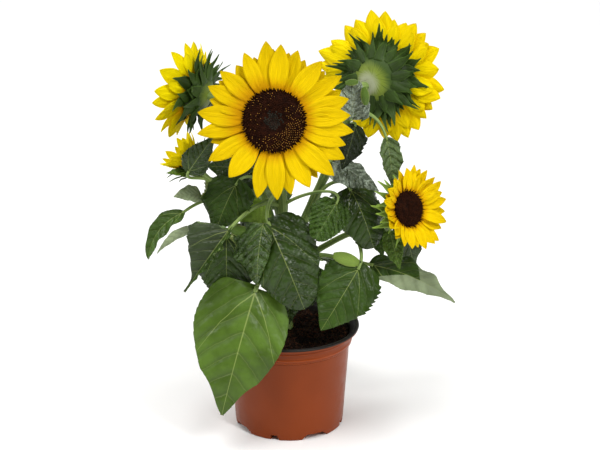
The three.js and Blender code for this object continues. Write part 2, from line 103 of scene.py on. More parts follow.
# Rays of the heads that show best: clock angle in degrees, anticlockwise from the right as the head
# is seen from its front, and reach from the disc's centre in millimetres
RAYS = {
    "front": [
        (97, 71), (84, 68), (71, 66), (52, 68), (35, 72), (15, 69), (4, 68), (-7, 71), (-18, 67), (-29, 71),
        (-43, 72), (-62, 67), (-77, 67), (-89, 70), (-103, 70), (-128, 64), (-149, 68), (-171, 69),
        (175, 68), (152, 66), (136, 65), (114, 66),
    ],
    "back_right": [
        (74, 62), (86, 60), (108, 55), (118, 60), (131, 59), (150, 62), (164, 57), (-178, 63), (-169, 61),
        (-156, 58), (-144, 58), (-132, 61), (-122, 62), (-111, 62), (-98, 58), (-83, 60), (-66, 59),
        (-48, 60), (-30, 59), (-12, 62), (3, 66), (14, 68), (26, 61), (42, 60), (58, 58), (96, 54), (140, 56),
    ],
    "back_left": [
        (14, 54), (36, 57), (60, 53), (84, 49), (104, 47), (126, 48), (148, 50), (170, 51), (-168, 51),
        (-146, 49), (-120, 49), (-90, 50), (-66, 49), (-42, 50), (-20, 52), (0, 54),
    ],
    "small_right": [
        (96, 38), (83, 38), (70, 41), (58, 39), (47, 41), (33, 41), (20, 44), (8, 40), (-4, 42), (-18, 40),
        (-31, 42), (-44, 40), (-57, 43), (-69, 42), (-82, 41), (-97, 37), (-112, 39), (-126, 39), (-145, 34),
        (-160, 33), (-174, 30), (168, 31), (152, 33), (134, 32), (115, 34),
    ],
}
# The number and reach of the rays of a head that isn't listed
HALF_OPEN_RAYS = 16
HALF_OPEN_REACH = 0.031
# Clock angles of the front flower between which no second row of rays shows
BARE_ARC = (-155, -95)

# Leaves: the stem and the share of its length where the stalk leaves it, the midrib's two ends,
# the way the upper side looks, the width, the fold of the two halves in degrees, the midrib's bow
# and how far the base is drawn back, both as shares of the length
Leaf = namedtuple("Leaf", "name stem at base tip faces width fold bow lobe")
LEAVES = [
    Leaf("leaf_front_hanging", "main", 0.2, (-0.030, -0.052, 0.153), (-0.0615, -0.084, 0.042),
         (-0.10, -0.95, 0.25), 0.085, -8, 0.09, 0.12),
    Leaf("leaf_front_middle", "main", 0.56, (-0.018, -0.042, 0.212), (0.014, -0.066, 0.1395),
         (0.05, -0.88, 0.45), 0.078, -14, 0.1, 0.12),
    Leaf("leaf_left_folded", "main", 0.50, (-0.0535, -0.046, 0.2095), (-0.0945, -0.056, 0.152),
         (-0.62, -0.72, 0.30), 0.050, 38, 0.06, 0.05),
    Leaf("leaf_left_dark", "main", 0.3, (-0.057, -0.022, 0.193), (-0.056, -0.034, 0.136),
         (-0.10, -0.93, 0.30), 0.053, 8, 0.08, 0.05),
    Leaf("leaf_far_left", "low_left", 0.42, (-0.096, -0.024, 0.217), (-0.128, -0.040, 0.178),
         (-0.50, -0.60, 0.60), 0.022, 14, 0.1, 0.03),
    Leaf("leaf_far_left_rear", "left", 0.3, (-0.086, 0.004, 0.190), (-0.121, -0.014, 0.173),
         (-0.25, -0.15, 0.95), 0.017, 12, 0.1, 0.03),
    Leaf("leaf_left_upper", "low_left", 0.62, (-0.080, -0.018, 0.231), (-0.104, -0.028, 0.234),
         (-0.20, -0.60, 0.78), 0.020, 10, 0.1, 0.03),
    Leaf("leaf_left_middle", "main", 0.52, (-0.048, -0.022, 0.2435), (-0.066, -0.034, 0.203),
         (-0.20, -0.82, 0.50), 0.052, -8, 0.1, 0.12),
    Leaf("leaf_by_bud", "low_left", 0.76, (-0.090, -0.039, 0.262), (-0.067, -0.040, 0.296),
         (0.00, -0.93, 0.35), 0.027, 6, 0.08, 0.03),
    Leaf("leaf_bud_outer", "low_left", 0.8, (-0.090, -0.024, 0.254), (-0.110, -0.034, 0.259),
         (0.00, -0.50, 0.86), 0.011, 14, 0.06, 0),
    Leaf("leaf_middle_dark", "main", 0.6, (-0.028, -0.002, 0.252), (-0.074, -0.008, 0.256),
         (-0.10, -0.96, 0.24), 0.046, 6, 0.06, 0.03),
    Leaf("leaf_flower_collar", "right", 0.84, (0.056, -0.016, 0.304), (0.0585, -0.022, 0.3425),
         (0.10, -0.95, 0.30), 0.032, 10, 0.06, 0.03),
    Leaf("leaf_right_upper", "right", 0.7, (0.060, -0.008, 0.295), (0.048, -0.022, 0.258),
         (0.25, -0.85, 0.45), 0.030, -6, 0.08, 0.03),
    Leaf("leaf_right_silver", "right", 0.58, (0.038, -0.012, 0.262), (0.081, -0.032, 0.241),
         (0.10, -0.62, 0.78), 0.031, -20, 0.08, 0.03),
    Leaf("leaf_right_upright", "right", 0.78, (0.089, 0.010, 0.275), (0.095, 0.000, 0.230),
         (0.45, -0.87, 0.20), 0.024, 20, 0.05, 0.05),
    Leaf("leaf_right_inner", "main", 0.5, (0.043, -0.032, 0.229), (0.024, -0.048, 0.200),
         (0.05, -0.78, 0.62), 0.038, -10, 0.1, 0.05),
    Leaf("leaf_right_broad", "right", 0.4, (0.056, -0.010, 0.234), (0.077, -0.026, 0.183),
         (0.28, -0.85, 0.45), 0.042, -8, 0.1, 0.05),
    Leaf("leaf_right_low", "low_right", 0.56, (0.0635, -0.032, 0.1655), (0.029, -0.060, 0.116),
         (0.12, -0.88, 0.45), 0.058, -6, 0.08, 0.1),
    Leaf("leaf_far_right", "main", 0.26, (0.076, -0.008, 0.159), (0.152, -0.030, 0.131),
         (0.30, -0.55, 0.78), 0.044, -16, 0.1, 0.04),
    Leaf("leaf_right_rear", "low_right", 0.7, (0.102, 0.022, 0.192), (0.116, 0.016, 0.144),
         (0.50, -0.80, 0.20), 0.030, 8, 0.08, 0.03),
    Leaf("leaf_under_flower", "low_right", 0.84, (0.092, -0.020, 0.197), (0.101, -0.030, 0.164),
         (-0.15, -0.90, 0.40), 0.020, 10, 0.06, 0.03),
    Leaf("leaf_right_notch", "low_right", 0.62, (0.080, -0.002, 0.194), (0.086, -0.012, 0.168),
         (-0.10, -0.85, 0.50), 0.017, 8, 0.06, 0.03),
    Leaf("leaf_low_inner", "main", 0.17, (0.026, -0.014, 0.158), (0.021, -0.030, 0.128),
         (-0.10, -0.85, 0.50), 0.024, 6, 0.08, 0.03),
    Leaf("leaf_low_front", "main", 0.08, (0.000, -0.030, 0.150), (0.000, -0.048, 0.117),
         (0.00, -0.85, 0.50), 0.028, 6, 0.08, 0.03),
    Leaf("leaf_centre_pale", "main", 0.36, (-0.0240, -0.003, 0.219), (-0.0430, -0.010, 0.191),
         (-0.30, -0.75, 0.60), 0.036, 12, 0.06, 0.03),
    Leaf("leaf_back_middle", "main", 0.44, (-0.020, 0.052, 0.216), (-0.036, 0.100, 0.158),
         (-0.10, 0.72, 0.68), 0.060, -8, 0.1, 0.08),
    Leaf("leaf_back_right", "right", 0.24, (0.050, 0.046, 0.204), (0.095, 0.084, 0.152),
         (0.45, 0.50, 0.74), 0.056, -8, 0.1, 0.08),
    Leaf("leaf_back_left", "left", 0.2, (-0.048, 0.050, 0.192), (-0.084, 0.084, 0.136),
         (-0.50, 0.50, 0.70), 0.056, -8, 0.1, 0.08),
    Leaf("leaf_back_low_left", "left", 0.1, (-0.020, 0.046, 0.150), (-0.028, 0.102, 0.102),
         (-0.10, 0.65, 0.75), 0.054, -8, 0.14, 0.08),
    Leaf("leaf_back_low_right", "main", 0.1, (0.030, 0.044, 0.144), (0.056, 0.092, 0.100),
         (0.35, 0.60, 0.72), 0.046, -8, 0.14, 0.08),
    Leaf("leaf_back_high", "main", 0.66, (-0.012, 0.034, 0.262), (-0.018, 0.084, 0.232),
         (0.00, 0.50, 0.86), 0.044, -6, 0.1, 0.05),
    Leaf("leaf_back_high_right", "right", 0.5, (0.036, 0.038, 0.250), (0.050, 0.078, 0.228),
         (0.20, 0.50, 0.84), 0.034, -6, 0.1, 0.05),
]

# Leaf halves as seen on a leaf that hangs in front
LEFT = 0
RIGHT = 1


class Form:
    """How a leaf is shaped and finished. A pair is for its left and right half, a number for both."""
    finish = "dark"
    side_finish = None     # of the right half alone, up to a share of the length
    side_until = 2.0
    side_over = 0.0        # how far that finish goes over the midrib at the base
    width = 1.0
    shoulder = 0.0         # roundness at the base
    taper = 0.0
    lobe = 1.0             # how far the half is drawn back, as a share of the leaf's own
    blunt = 0.0            # roundness at the tip
    drip = 0.35            # length of the thin tip
    sway = 0.0             # bend of the midrib in the leaf's plane
    hook = 0.0             # bend of the tip out of it
    curl = 0.0
    teeth = 0.08
    tooth_count = 14
    waves = 3.0
    ruffle = 0.07
    quilt = 0.008          # swelling between the side veins
    crumple = 0.010        # swelling between the fine ones

    def __init__(self, **changes):
        vars(self).update(changes)

    def half(self, key, hand):
        value = getattr(self, key)
        return value[hand] if isinstance(value, tuple) else value


PLAIN_FORM = Form()
LEAF_FORMS = {
    "leaf_front_hanging": Form(
        finish="fresh", width=(1.14, 0.92), shoulder=(1.1, 0.6), lobe=(0.3, 0.1), drip=0.40, hook=0.02,
        curl=-0.10, teeth=0.015, waves=2.0, ruffle=(0.03, 0.05), quilt=0.009, crumple=0.003),
    "leaf_front_middle": Form(
        width=(0.88, 0.95), shoulder=(0.3, 0.8), lobe=(-0.5, 0.6), blunt=0.85, drip=0.0, curl=-0.14,
        teeth=0.05, ruffle=0.06, quilt=0.012, crumple=(0.010, 0.016)),
    "middle_flap": Form(
        width=(1.85, 0.55), shoulder=(1.5, 0.6), lobe=(-0.4, 0.0), drip=0.2, curl=-0.3, teeth=0.04,
        ruffle=(0.10, 0.05), quilt=0.030, crumple=0.030),
    "leaf_left_folded": Form(
        finish="grey", side_finish="mid", width=(1.62, 0.45), shoulder=(1.2, 0.0), taper=(1.08, 0.0),
        lobe=(-3.0, 1.0), drip=0.6, sway=-0.03, teeth=0.04, waves=6.0, ruffle=(0.02, 0.20), quilt=0.004,
        crumple=(0.004, 0.010)),
    "leaf_left_dark": Form(width=(1.25, 1.35), blunt=0.6, drip=0.1, quilt=0.005),
    "leaf_left_middle": Form(finish="mid", width=(1.1, 0.9), blunt=0.3, quilt=0.009, crumple=0.020),
    "leaf_far_left": Form(
        finish="mid", side_finish="lively", blunt=0.8, drip=0.0, sway=0.10, teeth=0.03, ruffle=(0.03, 0.09)),
    "leaf_far_left_rear": Form(finish="pale", teeth=0.02, ruffle=0.02),
    "leaf_left_upper": Form(finish="pale", drip=0.0, teeth=0.03, ruffle=0.04),
    "leaf_by_bud": Form(drip=0.2),
    "leaf_right_silver": Form(finish="silver", teeth=0.06, crumple=0.03),
    "leaf_right_upright": Form(finish="bloom", teeth=0.10, tooth_count=7, crumple=0.02),
    "leaf_right_upper": Form(finish="deep", teeth=0.14, tooth_count=8, crumple=0.02),
    "leaf_right_inner": Form(
        finish="lively", shoulder=0.8, blunt=1.0, drip=0.0, quilt=0.020, crumple=0.050),
    "leaf_right_broad": Form(
        width=(1.1, 1.2), shoulder=(0.6, 0.4), blunt=1.0, drip=0.0, curl=-0.3, quilt=0.004,
        crumple=(0.003, 0.005)),
    "leaf_right_low": Form(
        finish="mid", width=(1.0, 1.05), shoulder=(0.2, 0.8), drip=0.15, teeth=0.10, quilt=0.006,
        crumple=0.004),
    # Its pale finish is painted sheen, and its right half takes the much darker mid finish as painted shade,
    # on the half that is folded up into shadow.
    "leaf_far_right": Form(
        finish="pale", side_finish="mid", side_over=0.35, side_until=0.56, width=(0.68, 1.1),
        shoulder=(-1.6, 0.5), drip=0.5, teeth=0.03, quilt=0.004, crumple=0.004),
    "leaf_right_notch": Form(finish="mid"),
    "leaf_under_flower": Form(finish="fresh", crumple=0.04),
    "leaf_right_rear": Form(finish="grey"),
    "leaf_centre_pale": Form(finish="olive", teeth=0.02),
    "leaf_flower_collar": Form(
        finish="speckled", shoulder=0.5, blunt=1.0, drip=0.0, teeth=0.02, quilt=0.01, crumple=0.04),
    "leaf_bud_outer": Form(finish="fresh", teeth=0.0),
}

# The half of the front middle leaf that is folded over on it, laid out as leaves are
FLAPS = {
    "leaf_front_middle": Leaf("middle_flap", "main", 0, (-0.0230, -0.0475, 0.2155),
                              (-0.0285, -0.0620, 0.1610), (-0.30, -0.86, 0.42), 0.036, -12, 0.10, 0.12),
}

# The order of a leaf's finishes
UPPER, UNDER, STALK, FOLD, SIDE, FRESH, FLAP = range(7)

# Lobes that are folded over and show their bright underside, each on its leaf
Lobe = namedtuple("Lobe", "leaf base tip faces width finish")
LOBES = [
    Lobe("leaf_front_middle", (-0.0320, -0.040, 0.2025), (-0.0540, -0.035, 0.2050), (-0.1, -0.9, 0.4),
         0.012, FRESH),
    Lobe("leaf_right_low", (0.0640, -0.031, 0.1700), (0.0400, -0.033, 0.1790), (-0.1, -0.85, 0.52),
         0.0135, FOLD),
    Lobe("leaf_flower_collar", (0.062, -0.027, 0.343), (0.050, -0.027, 0.342), (0.0, -0.8, 0.6),
         0.007, FRESH),
    Lobe("leaf_flower_collar", (0.069, -0.027, 0.321), (0.067, -0.027, 0.338), (0.1, -0.95, 0.3),
         0.009, FRESH),
]

# Leaf finishes: the colour setting and how much lighter than it they are, their shine and gloss, how
# much their ribs, side veins and net show, and the depth of their relief
LEAF_FINISHES = {
    "dark": ("dark", 1.0, 0.31, 0.31, 0.60, 0.16, 0.35, 0.62),
    # Dark leaves darkened much further: painted shade, for leaves that sit in shadow.
    "deep": ("dark", 0.30, 0.20, 0.38, 0.25, 0.08, 0.35, 0.6),
    # Dark leaves made lighter: painted sheen, for the silvery highlights on the folded-over flap.
    "flap": ("dark", 1.6, 0.50, 0.33, 0.60, 0.40, 0.35, 0.6),
    "mid": ("mid", 1.0, 0.16, 0.38, 0.60, 0.16, 0.20, 0.40),
    # Mid leaves made lighter: partly a brighter green, partly painted highlight on the puckered parts.
    "lively": ("mid", 1.5, 0.30, 0.32, 0.60, 0.20, 0.25, 0.7),
    "fresh": ("fresh", 1.0, 0.25, 0.40, 0.60, 0.16, 0.08, 0.35),
    "grey": ("grey", 1.0, 0.30, 0.42, 0.60, 0.18, 0.20, 0.5),
    # Grey leaves made much lighter: painted sheen, for the silvery look of a shiny upright leaf.
    "bloom": ("grey", 2.3, 0.35, 0.42, 0.60, 0.30, 0.40, 0.7),
    # Pale leaves carry painted sheen in their colour.
    "pale": ("pale", 1.0, 0.20, 0.50, 0.25, 0.10, 0.10, 0.2),
    # Speckled is built on the silver colour, so the collar leaf's light ground is painted sheen too.
    "speckled": ("silver", 0.85, 0.30, 0.40, 0.30, 0.50, 0.85, 0.8),
    # The fold colour made much lighter: painted light, for a leaf that sits in the front flower's shadow.
    "olive": ("fold", 1.7, 0.20, 0.50, 0.30, 0.10, 0.10, 0.3),
    "fold": ("fold", 1.0, 0.25, 0.50, 0.2, 0.2, 0.2, 0.3),
    "underside": ("under", 1.0, 0.25, 0.60, 0.5, 0.4, 0.2, 0.7),
}

# How the veins lie on a leaf's map, which both the modelled relief and the leaf finishes follow
MAP_SHARE = 0.8
MAP_FOOT = 0.15
VEIN_SPACING = 0.165
VEIN_SLOPE = 0.62
VEIN_BEND = 1.1
CELL_SCALE = 15
BASAL_FOOT = 0.035
BASAL_SLOPE = 0.95
BASAL_BEND = 2.4

GOLDEN_ANGLE = math.pi * (3 - math.sqrt(5))


# The sizes and colours that a user would change
def length_setting(name, description, value):
    return FloatProperty(name=name, description=description, default=value, min=0, unit="LENGTH")


def colour_setting(name, description, value):
    return FloatVectorProperty(name=name, description=description, default=value, min=0, max=1,
                               subtype="COLOR", size=3)


class SunflowerPotSettings(bpy.types.PropertyGroup):
    height: length_setting("Height", "From the ground to the top of the lip", 0.098)
    rim_radius: length_setting("Rim radius", "From the axis to the lip's outer edge", 0.065)
    collar_radius: length_setting("Collar radius", "Outer radius of the collar under the lip", 0.058)
    body_radius: length_setting("Body radius", "Outer radius just under the collar", 0.056)
    base_radius: length_setting("Base radius", "Outer radius at the ground", 0.050)
    wall: length_setting("Wall", "Thickness of the side wall", 0.0022)
    notch_height: length_setting("Notch height", "Height of the drainage notches", 0.005)
    outside: colour_setting("Outside", "Terracotta-coloured outer plastic", (0.205, 0.036, 0.005))
    inside: colour_setting("Inside", "Dark inner plastic, which also covers the lip", (0.014, 0.012, 0.010))


class SunflowerSoilSettings(bpy.types.PropertyGroup):
    top: length_setting("Top", "Height of the soil at the pot's wall", 0.088)
    mound: length_setting("Mound", "How much higher the soil is at the stem", 0.004)
    crumbs: IntProperty(name="Crumbs", description="Loose crumbs of bark and peat", default=1500, min=0)
    fibres: IntProperty(name="Fibres", description="Loose fibres of peat and coir", default=110, min=0)
    peat: colour_setting("Peat", "Dark moist peat", (0.0050, 0.0030, 0.0020))
    bark: colour_setting("Bark", "Reddish bark and fibres", (0.032, 0.012, 0.006))


class SunflowerStemSettings(bpy.types.PropertyGroup):
    green: colour_setting("Green", "Light green of the stems and stalks", (0.220, 0.300, 0.080))
    shade: colour_setting("Shade", "Darker green streaks along the stems", (0.085, 0.150, 0.030))
    hair_length: length_setting("Hair length", "Length of the fine stem hairs", 0.0013)


class SunflowerLeafSettings(bpy.types.PropertyGroup):
    thickness: length_setting("Thickness", "Thickness of a leaf", 0.0006)
    dark: colour_setting("Dark", "Old glossy leaves", (0.024, 0.050, 0.005))
    mid: colour_setting("Mid", "Full-grown leaves", (0.032, 0.067, 0.007))
    fresh: colour_setting("Fresh", "Young leaves", (0.068, 0.128, 0.011))
    grey: colour_setting("Grey", "Leaves with a grey bloom", (0.036, 0.058, 0.017))
    # Pale is painted sheen: the silvery highlight of the glossy leaves that take it, laid into their colour,
    # not a matte bloom.
    pale: colour_setting("Pale", "Leaves with a pale matte bloom", (0.215, 0.265, 0.145))
    # Silver is painted sheen: the silvery highlights that shiny leaves reflect on their swellings.
    silver: colour_setting("Silver", "Silky swellings of the shiny leaves", (0.300, 0.360, 0.270))
    vein: colour_setting("Vein", "Pale midrib and side veins", (0.270, 0.330, 0.090))
    under: colour_setting("Underside", "Matte paler underside", (0.140, 0.205, 0.075))
    fold: colour_setting("Fold", "Bright folded lobes", (0.185, 0.285, 0.040))


class SunflowerFlowerSettings(bpy.types.PropertyGroup):
    ray: colour_setting("Ray", "Yellow of the rays", (0.780, 0.535, 0.0005))
    # Orange at the rays' feet: partly their own colour, partly painted shade where they meet the disc.
    blush_and_shade: colour_setting("Blush", "Orange at the foot of the rays", (0.640, 0.270, 0.0008))
    floret: colour_setting("Floret", "Open florets of the disc", (0.019, 0.0052, 0.0019))
    bud: colour_setting("Bud", "Unopened florets in the middle", (0.021, 0.019, 0.014))
    pollen: colour_setting("Pollen", "Golden tips of the open florets", (0.400, 0.200, 0.038))
    bract: colour_setting("Bract", "Green of the bracts", (0.026, 0.052, 0.006))
    heart: colour_setting("Heart", "Silky middle of the head's back", (0.360, 0.385, 0.250))


class SunflowerStageSettings(bpy.types.PropertyGroup):
    floor: colour_setting("Floor", "Plain pale floor", (0.930, 0.930, 0.920))
    distance: length_setting("Camera distance", "From the camera to what it looks at", 2.752)
    elevation: FloatProperty(name="Camera elevation", description="Angle above the horizon",
                             default=math.radians(21.5), subtype="ANGLE")


class SunflowerSettings(bpy.types.PropertyGroup):
    pot: PointerProperty(type=SunflowerPotSettings)
    soil: PointerProperty(type=SunflowerSoilSettings)
    stem: PointerProperty(type=SunflowerStemSettings)
    leaf: PointerProperty(type=SunflowerLeafSettings)
    flower: PointerProperty(type=SunflowerFlowerSettings)
    stage: PointerProperty(type=SunflowerStageSettings)


# Node trees
class Signal:
    """A node's output, which is reckoned with like a number."""

    def __init__(self, tree, socket):
        self.tree = tree
        self.socket = socket

    def beside(self, output):
        """Another output of the same node."""
        return Signal(self.tree, self.socket.node.outputs[output])

    def fade(self, low, high, start=0.0, end=1.0):
        """A smooth step from start to end while the signal goes from low to high."""
        inputs = {"Value": self, "From Min": low, "From Max": high, "To Min": start, "To Max": end}
        return put(self.tree, "ShaderNodeMapRange", inputs, "Result", interpolation_type="SMOOTHSTEP")

    def __add__(self, other):
        return maths("ADD", self, other)

    def __sub__(self, other):
        return maths("SUBTRACT", self, other)

    def __rsub__(self, other):
        return maths("SUBTRACT", other, self)

    def __mul__(self, other):
        return maths("MULTIPLY", self, other)

    def __truediv__(self, other):
        return maths("DIVIDE", self, other)

    def __abs__(self):
        return maths("ABSOLUTE", self)


def join(tree, node, inputs):
    for key, value in inputs.items():
        if isinstance(value, Signal):
            tree.links.new(value.socket, node.inputs[key])
        else:
            node.inputs[key].default_value = value


def put(tree, kind, inputs, output=0, **settings):
    """Adds a node, with each input given as a value or a signal, and gives one of its outputs."""
    node = tree.nodes.new(kind)
    for key, value in settings.items():
        setattr(node, key, value)
    join(tree, node, inputs)
    return Signal(tree, node.outputs[output])


def maths(operation, *values):
    tree = next(value.tree for value in values if isinstance(value, Signal))
    return put(tree, "ShaderNodeMath", dict(enumerate(values)), operation=operation)


def mixed(share, first, second):
    """A mix of two colours, each a colour or a signal."""
    colours = [(*colour, 1) if isinstance(colour, tuple) else colour for colour in (first, second)]
    return put(share.tree, "ShaderNodeMix", {0: share, 6: colours[0], 7: colours[1]}, 2, data_type="RGBA")


def split(place):
    first = put(place.tree, "ShaderNodeSeparateXYZ", {"Vector": place})
    return first, first.beside("Y"), first.beside("Z")


def noise_value(place, scale, detail=3.0):
    return put(place.tree, "ShaderNodeTexNoise", {"Vector": place, "Scale": scale, "Detail": detail}, "Fac")


def streaks(x, y, scale, detail=2.0):
    """Noise that is drawn out into lines, because x is stretched more than y."""
    return noise_value(put(x.tree, "ShaderNodeCombineXYZ", {"X": x, "Y": y, "Z": 0.0}), scale, detail)


def new_group(name, **inputs):
    """The inputs of a new shader node group, each given with its value, or None for a vector."""
    tree = bpy.data.node_groups.new(name, "ShaderNodeTree")
    for key, value in inputs.items():
        kind = "NodeSocketVector" if value is None else "NodeSocketFloat"
        socket = tree.interface.new_socket(key, in_out="INPUT", socket_type=kind)
        if value is not None:
            socket.default_value = value
    return [Signal(tree, socket) for socket in tree.nodes.new("NodeGroupInput").outputs[:len(inputs)]]


def close_group(outputs):
    """Puts out signals under their names, and gives their node group."""
    tree = next(iter(outputs.values())).tree
    for key in outputs:
        tree.interface.new_socket(key, in_out="OUTPUT", socket_type="NodeSocketFloat")
    join(tree, tree.nodes.new("NodeGroupOutput"), outputs)
    return tree


def mottle_group():
    """Soft blotches and a fine grain, for any plant or plastic surface."""
    place, scale = new_group("mottle", Place=None, Scale=30.0)
    return close_group({"Blotch": noise_value(place, scale).fade(0.32, 0.68),
                        "Grain": noise_value(place, scale * 14.0, 4.0)})


def leaf_vein_group():
    """Midrib and basal pair, side veins and net of a mapped leaf, with the swellings between them."""
    place, width = new_group("leaf_veins", Map=None, Width=0.010)
    x, y, _z = split(place)
    sideways = (x - 0.5) / MAP_SHARE
    across = abs(sideways)
    along = (y - MAP_FOOT) / MAP_SHARE
    squared = across * across
    wandering = along + (noise_value(place, 7.0) - 0.5) * 0.05

    def level(slope, bend):
        return wandering - across * slope - squared * bend

    def line(distance, line_width):
        return distance.fade(line_width * 0.35, line_width, 1.0, 0.0)

    narrowing = 1.15 - across * 2.2
    midrib = line(across, width * (1.0 - along * 0.75))
    basal = line(abs(level(BASAL_SLOPE, BASAL_BEND) - BASAL_FOOT), width * narrowing)
    phase = maths("FRACT", level(VEIN_SLOPE, VEIN_BEND) / VEIN_SPACING)
    near = maths("MINIMUM", phase, 1.0 - phase)
    bent = put(x.tree, "ShaderNodeCombineXYZ", {"X": sideways, "Y": level(0.35, 0.5), "Z": 0.0})
    cells = {"Vector": bent, "Scale": CELL_SCALE}
    apart = put(x.tree, "ShaderNodeTexVoronoi", cells, "Distance", feature="DISTANCE_TO_EDGE")
    return close_group({
        "Ribs": maths("MAXIMUM", midrib, basal),
        "Sides": line(near * VEIN_SPACING, width * (narrowing * 0.8)),
        "Net": apart.fade(0.0, 0.13, 1.0, 0.0),
        "Swell": near.fade(0.0, 0.3),
        "Pillow": maths("POWER", apart.fade(0.0, 0.6), 0.5),
        "Streak": streaks(sideways * 6.0, level(VEIN_SLOPE, 0.3) * 13.0, 1.0).fade(0.38, 0.62),
    })


def petal_group():
    """The orange at a mapped ray's foot, partly the ray's own colour and partly painted shade by the disc,
    and its fine lengthwise veins.
    """
    place, reach = new_group("petal_streaks", Map=None, Reach=0.3)
    x, y, _z = split(place)
    streak = streaks(x * 14.0, y * 0.9, 1.6)
    ragged = y + (streak - 0.5) * 0.28
    return close_group({"Foot": ragged.fade(0.02, reach, 1.0, 0.0), "Streak": streak.fade(0.35, 0.65)})


GROUPS = {"mottle": mottle_group, "leaf_veins": leaf_vein_group, "petal_streaks": petal_group}


# Finishes
class Finish:
    """A new material with its surface shader, and the places that its patterns are read from."""

    def __init__(self, name, shine, sheen=0.0):
        self.material = bpy.data.materials.new(name)
        self.material.use_nodes = True
        self.tree = self.material.node_tree
        self.shader = self.tree.nodes["Principled BSDF"]
        join(self.tree, self.shader, {"Specular IOR Level": shine})
        if sheen:
            join(self.tree, self.shader, {"Sheen Weight": sheen, "Sheen Roughness": 0.3})
        self.place = put(self.tree, "ShaderNodeTexCoord", {}, "Object")

    def map(self):
        return put(self.tree, "ShaderNodeUVMap", {}, "UV", uv_map="map")

    def group(self, name, inputs):
        """The outputs of a node group, by name."""
        node = self.tree.nodes.new("ShaderNodeGroup")
        node.node_tree = bpy.data.node_groups.get(name) or GROUPS[name]()
        join(self.tree, node, inputs)
        return {socket.name: Signal(self.tree, socket) for socket in node.outputs}

    def mottle(self, scale):
        return self.group("mottle", {"Place": self.place, "Scale": scale})

    def done(self, colour, roughness, relief):
        """The material, given its colour, a signal and two ends for its roughness, and its relief."""
        signal, low, high = roughness
        height, strength, distance = relief
        bump = {"Height": height, "Strength": strength, "Distance": distance}
        join(self.tree, self.shader, {
            "Base Color": colour, "Roughness": signal.fade(0.0, 1.0, low, high),
            "Normal": put(self.tree, "ShaderNodeBump", bump)})
        return self.material


def tuned(colour, factor=1.0):
    """A colour made lighter or darker."""
    return tuple(min(channel * factor, 1.0) for channel in colour[:3])


def leaf_finish(name, colour, vein, shine, gloss, rib_share, side_share, net_share, relief):
    """The upper or lower side of a leaf."""
    finish = Finish(name, shine)
    veins = finish.group("leaf_veins", {"Map": finish.map(), "Width": 0.009})
    mottle = finish.mottle(34.0)
    body = mixed(mottle["Blotch"], tuned(colour, 0.72), tuned(colour, 1.22))
    # Darker down by the side veins and lighter on the swellings between them: painted shade in the leaf's
    # valleys. The net of fine veins is darkened too.
    body = mixed(veins["Swell"].fade(0.0, 1.0, 0.6, 1.0), tuned(colour, 0.6), body)
    body = mixed(veins["Net"] * net_share, body, tuned(colour, 0.45))
    body = mixed(veins["Sides"] * side_share, body, tuned(vein))
    body = mixed(veins["Ribs"] * rib_share, body, tuned(vein))
    height = veins["Swell"] * 0.8 - veins["Sides"] + veins["Pillow"] * 0.5
    return finish.done(body, (mottle["Blotch"], gloss - 0.05, gloss + 0.08), (height, relief, 0.0014))


def silver_finish(name, shine, ground):
    """A leaf with painted silvery highlights on its swellings, and painted shade along its sunken dark veins.
    """
    finish = Finish(name, 0.5)
    veins = finish.group("leaf_veins", {"Map": finish.map(), "Width": 0.010})
    mottle = finish.mottle(60.0)
    # Lit streaks take the silver colour as painted highlight; the net and side veins are darkened as painted
    # shade.
    lit = veins["Streak"].fade(0.0, 1.0, 0.30, 1.0) * mottle["Blotch"].fade(0.0, 1.0, 0.3, 1.0)
    body = mixed(lit, tuned(ground, 0.75), tuned(shine))
    body = mixed(veins["Net"] * 0.55, body, tuned(ground, 0.6))
    body = mixed(veins["Sides"] * 0.60, body, tuned(ground, 0.5))
    body = mixed(veins["Ribs"] * 0.6, body, tuned(shine, 1.1))
    height = veins["Streak"] + veins["Pillow"] * 0.7 - veins["Sides"]
    return finish.done(body, (mottle["Blotch"], 0.28, 0.42), (height, 1.0, 0.0010))


def stem_finish(name, green, shade):
    finish = Finish(name, 0.3, sheen=0.08)
    x, y, _z = split(finish.map())
    streak = streaks(x * 9.0, y * 2.0, 2.0)
    mottle = finish.mottle(45.0)
    body = mixed(streak.fade(0.35, 0.65), tuned(green), tuned(shade))
    body = mixed(mottle["Blotch"] * 0.35, body, tuned(green, 1.25))
    return finish.done(body, (mottle["Grain"], 0.38, 0.60), (streak + mottle["Grain"] * 0.4, 0.35, 0.0005))


def petal_finish(name, colour, blush_and_shade, blush_share):
    finish = Finish(name, 0.04)
    marks = finish.group("petal_streaks", {"Map": finish.map(), "Reach": blush_share})
    mottle = finish.mottle(26.0)
    body = mixed(mottle["Blotch"], tuned(colour, 0.90), tuned(colour, 1.06))
    body = mixed(marks["Streak"] * 0.50, body, tuned(colour, 0.80))
    # The orange foot: partly the ray's own colour, partly painted shade by the disc.
    body = mixed(marks["Foot"] * 0.90, body, tuned(blush_and_shade))
    return finish.done(body, (mottle["Grain"], 0.42, 0.62), (marks["Streak"], 0.70, 0.0006))


def bract_finish(name, colour):
    finish = Finish(name, 0.2)
    x, y, _z = split(finish.map())
    mottle = finish.mottle(60.0)
    streak = streaks(x * 12.0, y, 1.5)
    body = mixed(mottle["Blotch"], tuned(colour, 0.65), tuned(colour, 1.25))
    body = mixed(y.fade(0.35, 1.0), body, tuned(colour, 1.7))
    body = mixed(abs(x - 0.5).fade(0.38, 0.5, 0.0, 0.6), body, tuned(colour, 2.4))
    body = mixed(streak.fade(0.5, 0.75, 0.0, 0.45), body, tuned(colour, 1.9))
    return finish.done(body, (mottle["Grain"], 0.42, 0.62), (streak, 0.4, 0.0004))


